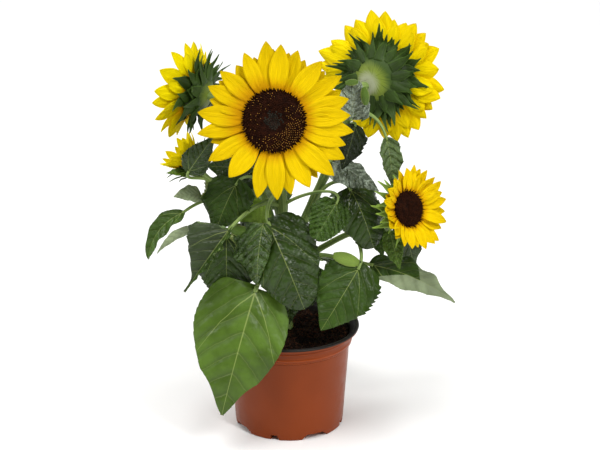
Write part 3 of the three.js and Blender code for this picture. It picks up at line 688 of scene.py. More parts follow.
def cup_finish(name, bract, heart):
    """The back of a head: silky and whitish round the stem, yellow-green, then dark green."""
    finish = Finish(name, 0.25, sheen=0.15)
    x, y, _z = split(finish.map())
    silk = streaks(x * 60.0, y * 3.0, 1.0, 3.0)
    ragged = y + (silk - 0.5) * 0.25
    lime = (heart[0] * 0.50, heart[1] * 0.62, heart[2] * 0.12)
    body = mixed(ragged.fade(0.22, 0.52), tuned(heart), lime)
    body = mixed(ragged.fade(0.50, 0.85), body, tuned(bract, 1.3))
    body = mixed(silk.fade(0.55, 0.75, 0.0, 0.6), body, tuned(bract, 1.1))
    return finish.done(body, (silk, 0.40, 0.62), (silk, 0.5, 0.0005))


def floret_finish(name, colour, gloss):
    finish = Finish(name, 0.04)
    mottle = finish.mottle(320.0)
    body = mixed(mottle["Blotch"], tuned(colour, 0.55), tuned(colour, 1.5))
    return finish.done(body, (mottle["Grain"], gloss, gloss + 0.2), (mottle["Grain"], 0.4, 0.0002))


def plastic_finish(name, colour, pale_ring_heights=()):
    """Moulded pot plastic: faint clouds and specks, a soft gloss, and paler rings at the given heights."""
    finish = Finish(name, 0.16)
    fine = finish.mottle(120.0)
    _x, _y, height = split(finish.place)
    body = mixed(finish.mottle(14.0)["Blotch"], tuned(colour, 0.92), tuned(colour, 1.08))
    for level in pale_ring_heights:
        body = mixed(abs(height - level).fade(0.0002, 0.0007, 0.55, 0.0), body, tuned(colour, 1.8))
    body = mixed(fine["Grain"].fade(0.62, 0.72, 0.0, 0.25), body, tuned(colour, 1.5))
    return finish.done(body, (fine["Blotch"], 0.30, 0.40), (fine["Grain"], 0.10, 0.0003))


def soil_finish(name, peat, bark):
    finish = Finish(name, 0.08)
    mottle = finish.mottle(110.0)
    crumbs = put(finish.tree, "ShaderNodeTexVoronoi", {"Vector": finish.place, "Scale": 420.0}, "Distance")
    tint = put(finish.tree, "ShaderNodeSeparateColor", {"Color": crumbs.beside("Color")}, "Red")
    body = mixed(mottle["Blotch"], tuned(peat), tuned(peat, 1.9))
    body = mixed(tint.fade(0.72, 0.95), body, tuned(bark))
    return finish.done(body, (mottle["Grain"], 0.75, 0.98), (crumbs, 0.8, 0.001))


# Shapes
def distinct(items):
    """Each item once, in the order in which they come."""
    return list(dict.fromkeys(items))


def bent_grid(shape, columns, rows, place, mark, finish=0):
    """A grid of points, across from -1 to 1 and along from 0 to 1, each moved to where place says."""
    points = bmesh.ops.create_grid(shape, x_segments=columns, y_segments=rows, size=1)["verts"]
    faces = distinct(face for point in points for face in point.link_faces)
    layer = shape.loops.layers.uv["map"]
    for face in faces:
        face.material_index = finish
        for corner in face.loops:
            corner[layer].uv = mark(corner.vert.co.x, (corner.vert.co.y + 1) / 2)
    for point in points:
        point.co = place(point.co.x, (point.co.y + 1) / 2)
    return points, faces


def new_shape():
    shape = bmesh.new()
    shape.loops.layers.uv.new("map")
    return shape


def plain_mark(across, along):
    return (0.5 + 0.5 * across, along)


def thicken(shape, points, faces, thickness, finish):
    """Gives a one-sided blade its other side, which takes the finish with that number."""
    shape.normal_update()
    normals = {point: point.normal.copy() for point in points}
    made = bmesh.ops.extrude_face_region(shape, geom=faces)["geom"]
    for face in faces:
        face.material_index = finish
    for point, normal in normals.items():
        point.co -= normal * thickness
    grown = [face for item in made if isinstance(item, bmesh.types.BMVert) for face in item.link_faces]
    bmesh.ops.recalc_face_normals(shape, faces=distinct([*faces, *grown]))


def add_sheet(shape, cells, surface, thickness, finish, beneath):
    """A thin sheet of so many faces across and along, with a finish for each of its sides."""
    points, faces = bent_grid(shape, *cells, *surface, finish)
    thicken(shape, points, faces, thickness, beneath)


class Path:
    """A smooth line through points, measured along its length."""

    def __init__(self, points):
        self.points = points
        self.marks = [0.0]
        for first, second in zip(points, points[1:]):
            self.marks.append(self.marks[-1] + (second - first).length)
        self.length = self.marks[-1]

    def at(self, share):
        goal = min(max(share, 0.0), 1.0) * self.length
        index = 1
        while index < len(self.marks) - 1 and self.marks[index] < goal:
            index += 1
        start, end = self.marks[index - 1], self.marks[index]
        part = (goal - start) / max(end - start, 1e-9)
        return self.points[index - 1].lerp(self.points[index], part)

    def heading(self, share):
        step = 0.01
        return (self.at(share + step) - self.at(share - step)).normalized()


def through_points(points, steps=16):
    """A path that passes the points smoothly, on the same curve as the solid stems."""
    knots = [Vector(point) for point in points]
    knots = [2 * knots[0] - knots[1], *knots, 2 * knots[-1] - knots[-2]]
    line = []
    for before, start, end, after in zip(knots, knots[1:], knots[2:], knots[3:]):
        for step in range(steps):
            t = step / steps
            line.append(0.5 * (2 * start + (end - before) * t
                               + (2 * before - 5 * start + 4 * end - after) * t ** 2
                               + (3 * start - before - 3 * end + after) * t ** 3))
    line.append(knots[-2])
    return Path(line)


def limb(shape, path, radius, sides, steps, finish=0):
    """A round limb along a path. radius gives its radius at a share of the length."""
    heading = path.heading(0)
    normal = heading.orthogonal().normalized()
    stations = []
    for step in range(steps + 1):
        heading = path.heading(step / steps)
        normal = (normal - heading * normal.dot(heading)).normalized()
        stations.append((path.at(step / steps), normal.copy(), heading.cross(normal), radius(step / steps)))

    def place(across, along):
        middle, first, second, size = stations[round(along * steps)]
        angle = math.pi * (across + 1)
        return middle + (first * math.cos(angle) + second * math.sin(angle)) * size

    points, faces = bent_grid(shape, sides, steps, place,
                              lambda across, along: (0.5 + 0.5 * across, along * path.length * 10), finish)
    close_up(shape, points)
    return stations


def close_up(shape, points):
    """Joins the seam of a rolled grid, closes its two ends and turns its faces outwards."""
    bmesh.ops.remove_doubles(shape, verts=points, dist=1e-6)
    kept = [point for point in points if point.is_valid]
    edges = distinct(edge for point in kept for edge in point.link_edges if edge.is_boundary)
    bmesh.ops.holes_fill(shape, edges=edges, sides=0)
    bmesh.ops.recalc_face_normals(shape, faces=distinct(face for point in kept for face in point.link_faces))


def new_object(name, data):
    made = bpy.data.objects.new(name, data)
    bpy.context.scene.collection.objects.link(made)
    return made


def finish_piece(name, shape, finishes, slot, *nodes):
    """Makes an object of a shape, gives it its finishes and ties it to the frame."""
    mesh = bpy.data.meshes.new(name)
    shape.to_mesh(mesh)
    shape.free()
    mesh.shade_smooth()
    for finish in finishes:
        mesh.materials.append(finish)
    piece = new_object(name, mesh)
    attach(piece, BODY)
    if nodes:
        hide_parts(*nodes)
    return piece


def spread(shape, template, places, finish=0):
    """Adds a copy of a small template shape at every place."""
    corners = [point.co.copy() for point in template.verts]
    rings = [[point.index for point in face.verts] for face in template.faces]
    for place in places:
        points = [shape.verts.new(place @ corner) for corner in corners]
        for ring in rings:
            face = shape.faces.new([points[index] for index in ring])
            face.material_index = finish
    template.free()


def aimed(position, direction, width, length, roll=0.0):
    """A place whose z axis points along a direction, with the sizes across and along it."""
    turn = Vector(direction).to_track_quat("Z", "Y").to_matrix().to_4x4()
    size = Matrix.Diagonal((width, width, length, 1))
    return Matrix.Translation(position) @ turn @ Matrix.Rotation(roll, 4, "Z") @ size


def cone_template(sides, foot, tip, middle=None):
    """A unit cone that stands on the origin, or a barrel where a middle radius is given."""
    template = bmesh.new()
    bmesh.ops.create_cone(template, cap_ends=True, segments=sides, radius1=foot, radius2=tip, depth=1)
    bmesh.ops.translate(template, vec=(0, 0, 0.5), verts=template.verts)
    if middle is not None:
        upright = [edge for edge in template.edges if abs(edge.verts[0].co.z - edge.verts[1].co.z) > 0.5]
        bmesh.ops.subdivide_edges(template, edges=upright, cuts=1, use_grid_fill=True)
        for point in template.verts:
            if 0.1 < point.co.z < 0.9:
                scale = middle / max(math.hypot(point.co.x, point.co.y), 1e-9)
                point.co.x *= scale
                point.co.y *= scale
    template.verts.index_update()
    return template


# Stems and stalks: sides of a limb, length of its steps, and the hairs' spacing and radius
STEM_SIDES = 20
STEM_STEP = 0.003
STALK_SIDES = 10
STALK_STEP = 0.004
RIB_SIDES = 6
HAIR_SPACING = 0.0016
HAIR_RADIUS = 0.000045


def head_back(head, clearance):
    """A point behind a head's green cup, where the stem joins it."""
    depth = 0.0045 + 0.42 * head.disc
    joint = Vector(head.centre)
    if head.name == OPEN_BACK:
        joint += OPEN_BACK_SHIFT
    return joint - Vector(head.faces).normalized() * (depth + clearance)


def stem_paths():
    paths = {}
    for key, stem in STEMS.items():
        points = [Vector(point) for point in stem.through]
        if stem.start:
            parent, share = stem.start
            points.insert(0, paths[parent].at(share))
        head = HEADS[stem.head]
        paths[key] = through_points([*points, head_back(head, 0.014), head_back(head, -0.001)])
    return paths


def stem_radius(key, share):
    """The stem's taper, its flare at the foot and the swellings where stalks and side stems leave."""
    stem = STEMS[key]
    radius = stem.radii[0] + (stem.radii[1] - stem.radii[0]) * share
    radius *= 1 + 0.30 * math.exp(-share / 0.03)
    joints = [leaf.at for leaf in LEAVES if leaf.stem == key]
    joints += [other.start[1] for other in STEMS.values() if other.start and other.start[0] == key]
    for joint in joints:
        radius += 0.0005 * math.exp(-((share - joint) / 0.02) ** 2)
    return radius * (1 + 0.25 * max(0.0, (share - 0.93) / 0.07))


def add_hairs(shape, stations, length, seed, finish):
    """Fine hairs that stand out of a limb at its stations."""
    chance = random.Random(seed)
    places = []
    for (start, first, second, radius), (end, *_rest) in zip(stations, stations[1:]):
        count = max(1, round((end - start).length * FULL_TURN * radius / HAIR_SPACING ** 2))
        for _ in range(count):
            angle = chance.uniform(0, FULL_TURN)
            out = first * math.cos(angle) + second * math.sin(angle)
            lean = Vector([chance.uniform(-0.5, 0.5) for _ in range(3)])
            position = start.lerp(end, chance.random()) + out * radius * 0.97
            places.append(aimed(position, out + lean, HAIR_RADIUS, length * chance.uniform(0.5, 1.2)))
    spread(shape, cone_template(3, 1, 0.15), places, finish)


class SUNFLOWER_OT_stems(bpy.types.Operator):
    """Grow the main stem and the four side stems, with their hairs"""
    bl_idname = "sunflower.stems"
    bl_label = "Grow the Stems"

    def execute(self, context):
        settings = context.scene.sunflower.stem
        green = stem_finish("stem_green", settings.green, settings.shade)
        hair = stem_finish("stem_hair", tuned(settings.green, 2.4), tuned(settings.green, 2.0))
        for number, (key, path) in enumerate(stem_paths().items()):
            shape = new_shape()
            steps = round(path.length / STEM_STEP)
            stations = limb(shape, path, lambda share: stem_radius(key, share), STEM_SIDES, steps)
            add_hairs(shape, stations, settings.hair_length, number, 1)
            name = STEMS[key].name
            finish_piece("grown_" + name, shape, [green, hair], "stem", name)
        return {"FINISHED"}


# Leaf shapes: faces across and along a large blade, a small one, the flap and a lobe
LARGE_BLADE = (64, 110)
SMALL_BLADE = (36, 70)
FLAP_BLADE = (60, 80)
LOBE_BLADE = (14, 20)
LARGE_LENGTH = 0.06


def leaf_outline(along, form, hand):
    """Half the width at a share of the length, as a share of the full half width."""
    power = 0.85 - 0.45 * form.blunt * along - 0.5 * form.half("shoulder", hand) * (1 - along) ** 3
    swell = max(math.sin(math.pi * along ** 0.6), 0.0) ** power
    nearing = max(0.0, (along - 0.7) / 0.3)
    tapered = 1 - form.half("taper", hand) * along
    return max(0.03, swell * tapered * (1 - form.drip * nearing * (1 - nearing) * 2.2))


def blade_axes(base, tip, faces):
    """The midrib's start, its direction, the way up, the side and the length."""
    base = Vector(base)
    along = Vector(tip) - base
    length = along.length
    along.normalize()
    up = Vector(faces)
    up = (up - along * up.dot(along)).normalized()
    return base, along, up, along.cross(up), length


def leaf_form(leaf):
    return LEAF_FORMS.get(leaf.name, PLAIN_FORM)


def leaf_surface(leaf):
    """Two functions: the place of a point of the blade, and its mark on the leaf's map."""
    form = leaf_form(leaf)
    base, forward, up, side, length = blade_axes(leaf.base, leaf.tip, leaf.faces)
    fold = math.radians(leaf.fold)
    seed = sum(map(ord, leaf.name)) % 97

    def spot(across, along):
        """Sideways and lengthwise place on the flat leaf, as shares of its length."""
        reach = abs(across)
        hand = LEFT if across > 0 else RIGHT
        half = 0.5 * leaf.width * leaf_outline(along, form, hand) * form.half("width", hand) / length
        stretch = along + 0.03 * math.sin(11 * along + seed + across)
        beat = (stretch * form.tooth_count + 0.3 * math.copysign(1, across)) % 1.0
        tooth = form.teeth * reach ** 8 * beat * min(1.0, 8 * (1 - along)) * min(1.0, 12 * along)
        drawn_back = leaf.lobe * form.half("lobe", hand) * across * across * (1 - along) ** 2
        return across * half * (1 - tooth), along - drawn_back + 0.10 * tooth

    def place(across, along):
        sideways, lengthwise = spot(across, along)
        reach = abs(across)
        hand = LEFT if across > 0 else RIGHT
        wave = FULL_TURN * form.waves * along + (1.9, 0.4)[hand] + seed
        ruffle = form.half("ruffle", hand) * abs(sideways) * reach ** 3 * 2.5 * math.sin(wave)
        flank = lengthwise - VEIN_SLOPE * abs(sideways) - VEIN_BEND * sideways ** 2
        swell = abs(math.sin(math.pi * flank / VEIN_SPACING)) ** 0.7 - 0.6
        edge = min(1.0, 6 * reach) * min(1.0, 5 * (1 - reach) + 0.3)
        near = noise.voronoi(Vector((sideways, lengthwise, seed)) * CELL_SCALE)[0]
        dome = min(1.0, 2.2 * (near[1] - near[0])) - 0.5
        rough = noise.noise(Vector((sideways * 9, lengthwise * 9, seed)))
        relief = (form.quilt * swell + form.half("crumple", hand) * (dome + 1.2 * rough)) * edge
        arch = 4 * leaf.bow * along * (1 - along) - form.hook * along ** 3
        rise = abs(sideways) * math.sin(fold) + form.curl * reach * abs(sideways) + arch
        sway = 4 * form.sway * along * (1 - along)
        return (base + forward * lengthwise * length
                + side * (sideways * math.cos(fold) + sway) * length
                + up * (rise + ruffle + relief) * length)

    def mark(across, along):
        sideways, lengthwise = spot(across, along)
        return (0.5 + MAP_SHARE * sideways, MAP_FOOT + MAP_SHARE * lengthwise)

    return place, mark


def stalk_path(leaf, paths):
    """The stalk's line, from inside its stem in an arch to a little way under the blade."""
    base, forward, up, _side, length = blade_axes(leaf.base, leaf.tip, leaf.faces)
    start = paths[leaf.stem].at(leaf.at)
    arrival = (forward + up * 4 * leaf.bow).normalized()
    departure = ((base - start).normalized() + UP * 0.8).normalized()
    reach = (base - start).length * 0.4
    end = base + arrival * 0.02 * length
    return Path(interpolate_bezier(start, start + departure * reach, base - arrival * reach, end, 25))


def basal_across(along, length, half_width):
    """How far across the blade the basal vein lies where it is that far along."""
    inside = BASAL_SLOPE ** 2 + 4 * BASAL_BEND * max(along - BASAL_FOOT, 0.0)
    lateral = (math.sqrt(inside) - BASAL_SLOPE) / (2 * BASAL_BEND)
    return lateral * length / max(half_width, 1e-6)


def add_ribs(shape, leaf, place, radius, thickness):
    """The midrib and the two basal veins, raised on the underside."""
    _base, _forward, up, _side, length = blade_axes(leaf.base, leaf.tip, leaf.faces)

    def under(across, along, size):
        return place(across, along) - up * (thickness + 0.75 * size)

    lines = [(0.9, [(0.0, 0.02 + 0.94 * step / 14) for step in range(15)])]
    for hand in (-1, 1):
        marks = []
        for step in range(10):
            along = BASAL_FOOT + 0.4 * step / 9
            half = 0.5 * leaf.width * leaf_outline(along, leaf_form(leaf), LEFT)
            marks.append((hand * min(basal_across(along, length, half), 0.85), along))
        lines.append((0.55, marks))
    for size, marks in lines:
        thick = radius * size
        count = len(marks) - 1
        points = [under(across, along, thick * (1 - 0.8 * step / count))
                  for step, (across, along) in enumerate(marks)]
        limb(shape, Path(points), lambda share: thick * (1 - 0.85 * share), RIB_SIDES, count, STALK)


def add_lobe(shape, lobe, thickness):
    """A folded lobe: a short rounded blade that is a little arched along and across."""
    base, forward, up, side, length = blade_axes(lobe.base, lobe.tip, lobe.faces)

    def place(across, along):
        half = 0.5 * lobe.width * max(0.1, math.sin(math.pi * (0.08 + 0.86 * along))) ** 0.6
        arch = 0.08 * length * math.sin(math.pi * along)
        return (base + forward * along * length + side * 0.9 * half * across
                + up * (arch - 0.3 * half * across ** 2))

    add_sheet(shape, LOBE_BLADE, (place, plain_mark), thickness, lobe.finish, lobe.finish)


def finish_side(shape, form):
    """Gives the right half of a leaf's upper side its own finish."""
    layer = shape.loops.layers.uv["map"]
    for face in shape.faces:
        middle = sum((corner[layer].uv for corner in face.loops), Vector((0, 0))) / len(face.loops)
        share = (middle.y - MAP_FOOT) / MAP_SHARE
        over = form.side_over * max(0.0, 0.4 - share)
        inside = middle.x < 0.5 + over and share < form.side_until - 0.5 * (0.5 - middle.x)
        if face.material_index == UPPER and inside:
            face.material_index = SIDE


class SUNFLOWER_OT_leaves(bpy.types.Operator):
    """Grow the leaves, each with its stalk, veins, toothed margin and quilted blade"""
    bl_idname = "sunflower.leaves"
    bl_label = "Grow the Leaves"

    def execute(self, context):
        settings = context.scene.sunflower.leaf
        stem = context.scene.sunflower.stem
        thickness = settings.thickness
        stalk = stem_finish("stalk_green", tuned(stem.green, 1.25), stem.shade)
        sides = {"silver": silver_finish("leaf_silver", tuned(settings.silver, 0.90), settings.grey)}
        for key, (colour, light, *shares) in LEAF_FINISHES.items():
            colour = tuned(getattr(settings, colour), light)
            sides[key] = leaf_finish("leaf_" + key, colour, settings.vein, *shares)
        paths = stem_paths()
        for leaf in LEAVES:
            form = leaf_form(leaf)
            length = (Vector(leaf.tip) - Vector(leaf.base)).length
            surface = leaf_surface(leaf)
            shape = new_shape()
            blade = LARGE_BLADE if length > LARGE_LENGTH else SMALL_BLADE
            add_sheet(shape, blade, surface, thickness, UPPER, UNDER)
            if form.side_finish:
                finish_side(shape, form)
            if leaf.name in FLAPS:
                add_sheet(shape, FLAP_BLADE, leaf_surface(FLAPS[leaf.name]), thickness, FLAP, UNDER)
            path = stalk_path(leaf, paths)
            radius = 0.0009 + 0.013 * length
            steps = max(8, round(path.length / STALK_STEP))
            limb(shape, path, lambda share: radius * (1.2 - 0.35 * share), STALK_SIDES, steps, STALK)
            add_ribs(shape, leaf, surface[0], 0.8 * radius, thickness)
            for lobe in LOBES:
                if lobe.leaf == leaf.name:
                    add_lobe(shape, lobe, thickness)
            beneath = "pale" if form.finish == "pale" else "underside"
            finishes = [sides[form.finish], sides[beneath], stalk, sides["fold"],
                        sides[form.side_finish or "dark"], sides["fresh"], sides["flap"]]
            slot = "young_leaf" if form.finish in ("fresh", "silver", "speckled") else "leaf"
            finish_piece("grown_" + leaf.name, shape, finishes, slot, leaf.name)
        return {"FINISHED"}


# Flower heads: faces across and along a ray and a bract, and how thick they are
RAY_CELLS = (12, 22)
RAY_THICKNESS = 0.0004
BRACT_CELLS = (8, 18)
BRACT_THICKNESS = 0.0005
BRACT_ROWS = 4
# How near a ray is to its head's shaded clock angle, as a cosine, where it takes the finish with painted
# shade at its foot
SHADE_SIDE_REACH = 0.68
# Parts of a disc as shares of its radius: the buds end, the pollen begins, the dimple ends, the rim begins
BUD_SHARE = 0.27
POLLEN_SHARE = 0.42
DIMPLE_SHARE = 0.62
RIM_SHARE = 0.93
FRONT_FLORETS = 684
LARGE_DISC = 0.02


class HeadPlace:
    """Where a head's disc is, its right and its top as seen from its front, and the way it faces."""

    def __init__(self, head):
        self.centre = Vector(head.centre)
        self.faces = Vector(head.faces).normalized()
        self.top = (UP - self.faces * self.faces.z).normalized()
        self.right = self.top.cross(self.faces)

    def outward(self, angle):
        return self.right * math.cos(angle) + self.top * math.sin(angle)

    def at(self, angle, radius, height):
        return self.centre + self.outward(angle) * radius + self.faces * height


def on_plane(angle, length=1.0):
    """A step at an angle in the plane of a blade's middle line, which holds radius and height."""
    return Vector((math.cos(angle), math.sin(angle), 0)) * length


def petal_outline(along):
    return max(0.02, math.sin(math.pi * (0.14 + 0.86 * along ** 1.15)) ** 0.8)


def bract_outline(along):
    """Broad at the foot, with a long thin tip."""
    narrowing = min(max((along - 0.35) / 0.40, 0.0), 1.0)
    return max(0.02, (1 - along) ** 0.7 * (1 - 0.50 * narrowing * narrowing * (3 - 2 * narrowing)))


Blade = namedtuple("Blade", "turn line width outline twist gutter wave swing")


def add_blade(shape, stand, blade, cells, thickness, finish):
    """A ray or bract whose middle line, given as radius and height, stands at a clock angle."""
    turn = math.radians(blade.turn)
    outward = stand.outward(turn)
    sideways = stand.outward(turn + math.pi / 2)

    def place(across, along):
        spot, heading = blade.line.at(along), blade.line.heading(along)
        up = stand.faces * heading.x - outward * heading.y
        half = 0.5 * blade.width * blade.outline(along)
        twist = blade.twist * along
        groove = math.cos(3 * math.pi * across) * math.sin(math.pi * along)
        wave = across * across * math.sin(7 * along + blade.turn)
        rise = half * (blade.gutter * abs(across) ** 1.6 + blade.wave * wave) + 0.00042 * groove
        flat = across * half
        swing = blade.swing * blade.line.length * along * along
        return (stand.at(turn, spot.x, spot.y) + sideways * (flat * math.cos(twist) + swing)
                + up * (rise + flat * math.sin(twist)))

    add_sheet(shape, cells, (place, plain_mark), thickness, finish, finish)


def ray_line(root, rise, length, lean, bend):
    """A ray's middle line, which leans forward by one angle and bends by another."""
    start = Vector((0.95 * root, rise, 0))
    end = Vector((root, rise, 0)) + on_plane(lean, length)
    first = start + on_plane(lean - bend, 0.4 * length)
    second = end - on_plane(lean + bend, 0.4 * length)
    return Path(interpolate_bezier(start, first, second, end, 13))


def ray_list(key, head, chance):
    """The clock angle, reach and row of every ray of a head."""
    if key in RAYS:
        turns = sorted(RAYS[key])
        rays = [(turn, reach / 1000, 0) for turn, reach in turns]
        for index, ((turn, reach), (after, next_reach)) in enumerate(zip(turns, turns[1:])):
            bare = BARE_ARC[0] < turn < BARE_ARC[1] if key == "front" else index % 2
            if not bare:
                middle = (turn + after) / 2 + chance.uniform(-2, 2)
                rays.append((middle, (reach + next_reach) / 2000 * chance.uniform(0.84, 0.93), 1))
        return rays
    rays = []
    for index in range(HALF_OPEN_RAYS):
        row = index % 2
        length = (HALF_OPEN_REACH - head.disc) * (1 - 0.07 * row) * chance.uniform(0.88, 1.06)
        turn = 360 * (index + chance.uniform(-0.28, 0.28)) / HALF_OPEN_RAYS
        rays.append((turn, head.disc + length, row))
    return rays


class SUNFLOWER_OT_rays(bpy.types.Operator):
    """Open the yellow rays of the five heads"""
    bl_idname = "sunflower.rays"
    bl_label = "Open the Rays"

    def execute(self, context):
        settings = context.scene.sunflower.flower
        for key, head in HEADS.items():
            # The heads behind get lighter copies of the front's yellow: painted light, for the glow of
            # back-lit rays.
            ray = tuned(settings.ray, head.light)
            blush_and_shade = tuned(settings.blush_and_shade, head.light ** 0.6)
            shaded_foot = 0.60 + 0.5 * (head.light - 1)
            finishes = [
                petal_finish("ray_" + head.name, ray, blush_and_shade, 0.34),
                petal_finish("ray_warm_" + head.name, tuned(ray, 0.96), tuned(blush_and_shade, 0.9), shaded_foot),
            ]
            chance = random.Random(head.name)
            stand = HeadPlace(head)
            shape = new_shape()
            wild = head.wild
            row_lean = 3 if key in RAYS else -8
            for turn, reach, row in ray_list(key, head, chance):
                lean = math.radians(head.lean - row_lean * row + wild * chance.uniform(-2, 2))
                bend = math.radians(wild * chance.uniform(-9, 13))
                line = ray_line(head.disc, 0.0004 - 0.0020 * row, reach - head.disc, lean, bend)
                # Rays round the shaded clock angle take the second finish, whose longer and darker orange
                # foot is painted shade.
                warm = head.warm is not None and math.cos(math.radians(turn - head.warm)) > SHADE_SIDE_REACH
                blade = Blade(
                    turn=turn, line=line, width=head.width * chance.uniform(0.88, 1.12) * (1 - 0.1 * row),
                    outline=petal_outline, twist=wild * chance.uniform(-0.3, 0.3),
                    gutter=wild * chance.uniform(0.05, 0.30), wave=0.06 * wild,
                    swing=wild * chance.uniform(-0.04, 0.04))
                add_blade(shape, stand, blade, RAY_CELLS, RAY_THICKNESS, int(warm))
            finish_piece(head.name + "_petals", shape, finishes, "ray", head.name + "_rays")
        return {"FINISHED"}


# The cup's outer side from the stem to the disc's edge: radius, and height over its back, as shares of
# the disc's radius
CUP_SIDE = [(0.24, 0), (0.50, 0.06), (0.76, 0.20), (0.94, 0.38)]


def cup_line(disc):
    """The cup's outer side as radius and height, from the stem to the disc's edge."""
    back = -0.0045 - 0.52 * disc
    side = [(share * disc, back + rise * disc, 0) for share, rise in CUP_SIDE]
    return through_points([(0.14 * disc, back - 0.0006, 0), *side, (disc, -0.0022, 0)], 8)


def add_cup(shape, head, stand, flank, open_back):
    """The green cup behind a head, mapped by how far it is from the pale middle of its back."""

    def place(across, along):
        angle = math.pi * (across + 1)
        spot = flank.at(along)
        return stand.at(angle, spot.x * (1 + 0.015 * math.sin(9 * angle) * along), spot.y)

    points, faces = bent_grid(shape, 72, 20, place, plain_mark, 1)
    pale_middle = head_back(head, 0).lerp(stand.centre - stand.faces * 0.5 * head.disc, 0.3)
    layer = shape.loops.layers.uv["map"]
    for face in faces:
        for corner in face.loops:
            share = (corner.vert.co - pale_middle).length / head.disc
            corner[layer].uv.y = share if open_back else 0.4 + 0.6 * share
    close_up(shape, points)


def bract_path(head, flank, row, chance):
    """A bract's middle line, from the cup's side over the disc's edge to its tip."""
    foot = flank.at(0.90 - 0.15 * row + chance.uniform(-0.05, 0.05))
    edge = head.disc * (1.10 + 0.03 * row)
    reach = head.bract_reach * chance.uniform(0.80, 1.18) * (1 - 0.04 * row)
    lean = math.radians(head.bract_lean - 5 * row + chance.uniform(-16, 10))
    shelf = Vector((edge, -0.0044 - 0.0020 * row, 0))
    tip = shelf + on_plane(lean, reach - edge)
    middle = shelf.lerp(tip, 0.5) + Vector((0, chance.uniform(-0.0004, 0.0022), 0))
    return through_points([foot + Vector((0.0002, -0.0006, 0)), shelf, middle, tip], 6)


class SUNFLOWER_OT_bracts(bpy.types.Operator):
    """Grow the green cup and the pointed bracts behind each head"""
    bl_idname = "sunflower.bracts"
    bl_label = "Grow the Bracts"

    def execute(self, context):
        settings = context.scene.sunflower.flower
        green = bract_finish("bract_green", settings.bract)
        young = bract_finish("bract_young", tuned(context.scene.sunflower.leaf.fold, 0.80))
        back = cup_finish("head_back", settings.bract, settings.heart)
        for head in HEADS.values():
            chance = random.Random(head.name + "_bracts")
            stand = HeadPlace(head)
            open_back = head.name == OPEN_BACK
            shape = new_shape()
            flank = cup_line(head.disc)
            add_cup(shape, head, stand, flank, open_back)
            count = round(head.bracts * (2.2 if open_back else 1.5))
            for index in range(count):
                line = bract_path(head, flank, index % BRACT_ROWS, chance)
                blade = Blade(
                    turn=360 * (index + chance.uniform(-0.3, 0.3)) / count, line=line,
                    width=(0.46 if open_back else 0.58) * head.disc * chance.uniform(0.8, 1.2),
                    outline=bract_outline, twist=chance.uniform(-1.0, 1.0),
                    gutter=chance.uniform(0.1, 0.7) * (1 if open_back else 0.5), wave=0.16,
                    swing=chance.uniform(-0.25, 0.25))
                add_blade(shape, stand, blade, BRACT_CELLS, BRACT_THICKNESS, 0)
            skin = young if head.name == YOUNG_BRACTS else green
            finish_piece(head.name + "_cup", shape, [skin, back], "bract", head.name + "_bracts")
        return {"FINISHED"}


def disc_height(share, disc):
    """Height of the disc's cushion at a share of its radius: a dimple in a low dome."""
    rise = 0.26 * disc
    if share < DIMPLE_SHARE:
        return rise * (0.45 + 0.55 * math.sin(0.5 * math.pi * share / DIMPLE_SHARE))
    beyond = (share - DIMPLE_SHARE) / (1 - DIMPLE_SHARE)
    return rise * (0.35 + 0.65 * math.cos(0.5 * math.pi * beyond) ** 0.7)


def floret_places(head, stand, chance):
    """Where the buds, the open florets, their pollen tips and the rim's spikes of a disc stand."""
    disc = head.disc
    large = disc > LARGE_DISC
    count = round(FRONT_FLORETS * (disc / HEADS["front"].disc) ** 2 + 60)
    pitch = disc * math.sqrt(math.pi / count)
    buds, opens, tips, spikes = [], [], [], []
    for index in range(count):
        share = math.sqrt((index + 0.5) / count)
        angle = index * GOLDEN_ANGLE
        position = stand.at(angle, share * disc, disc_height(share, disc) - 0.0006)
        spill = max(0.0, (share - 0.55) / 0.45)
        direction = stand.faces + stand.outward(angle) * (0.15 * share + 0.9 * spill ** 2)
        direction += Vector([chance.uniform(-0.14, 0.14) for _ in range(3)])
        if large and share < BUD_SHARE + chance.uniform(-0.09, 0.09):
            raised = position + stand.faces * (0.0013 if share > 0.13 else 0.0007)
            buds.append(aimed(raised, direction, 0.52 * pitch, 0.9 * pitch, angle))
        elif share < RIM_SHARE:
            length = pitch * chance.uniform(1.0, 1.5)
            opens.append(aimed(position, direction, 0.50 * pitch, length, angle))
            # Pollen tips are strewn thickest towards the lower right: real pollen, but more of it on that
            # side as painted highlight.
            lit = 0.15 + 0.85 * max(0.0, math.cos(angle + math.radians(40)))
            if share > POLLEN_SHARE and large and chance.random() < 0.95 * lit:
                tip = position + direction.normalized() * length * 0.95
                tips.append(aimed(tip, direction, 0.23 * pitch, 0.55 * pitch, angle))
        else:
            length = pitch * chance.uniform(1.8, 2.6)
            spikes.append(aimed(position, direction, 0.45 * pitch, length, angle))
    return buds, opens, tips, spikes


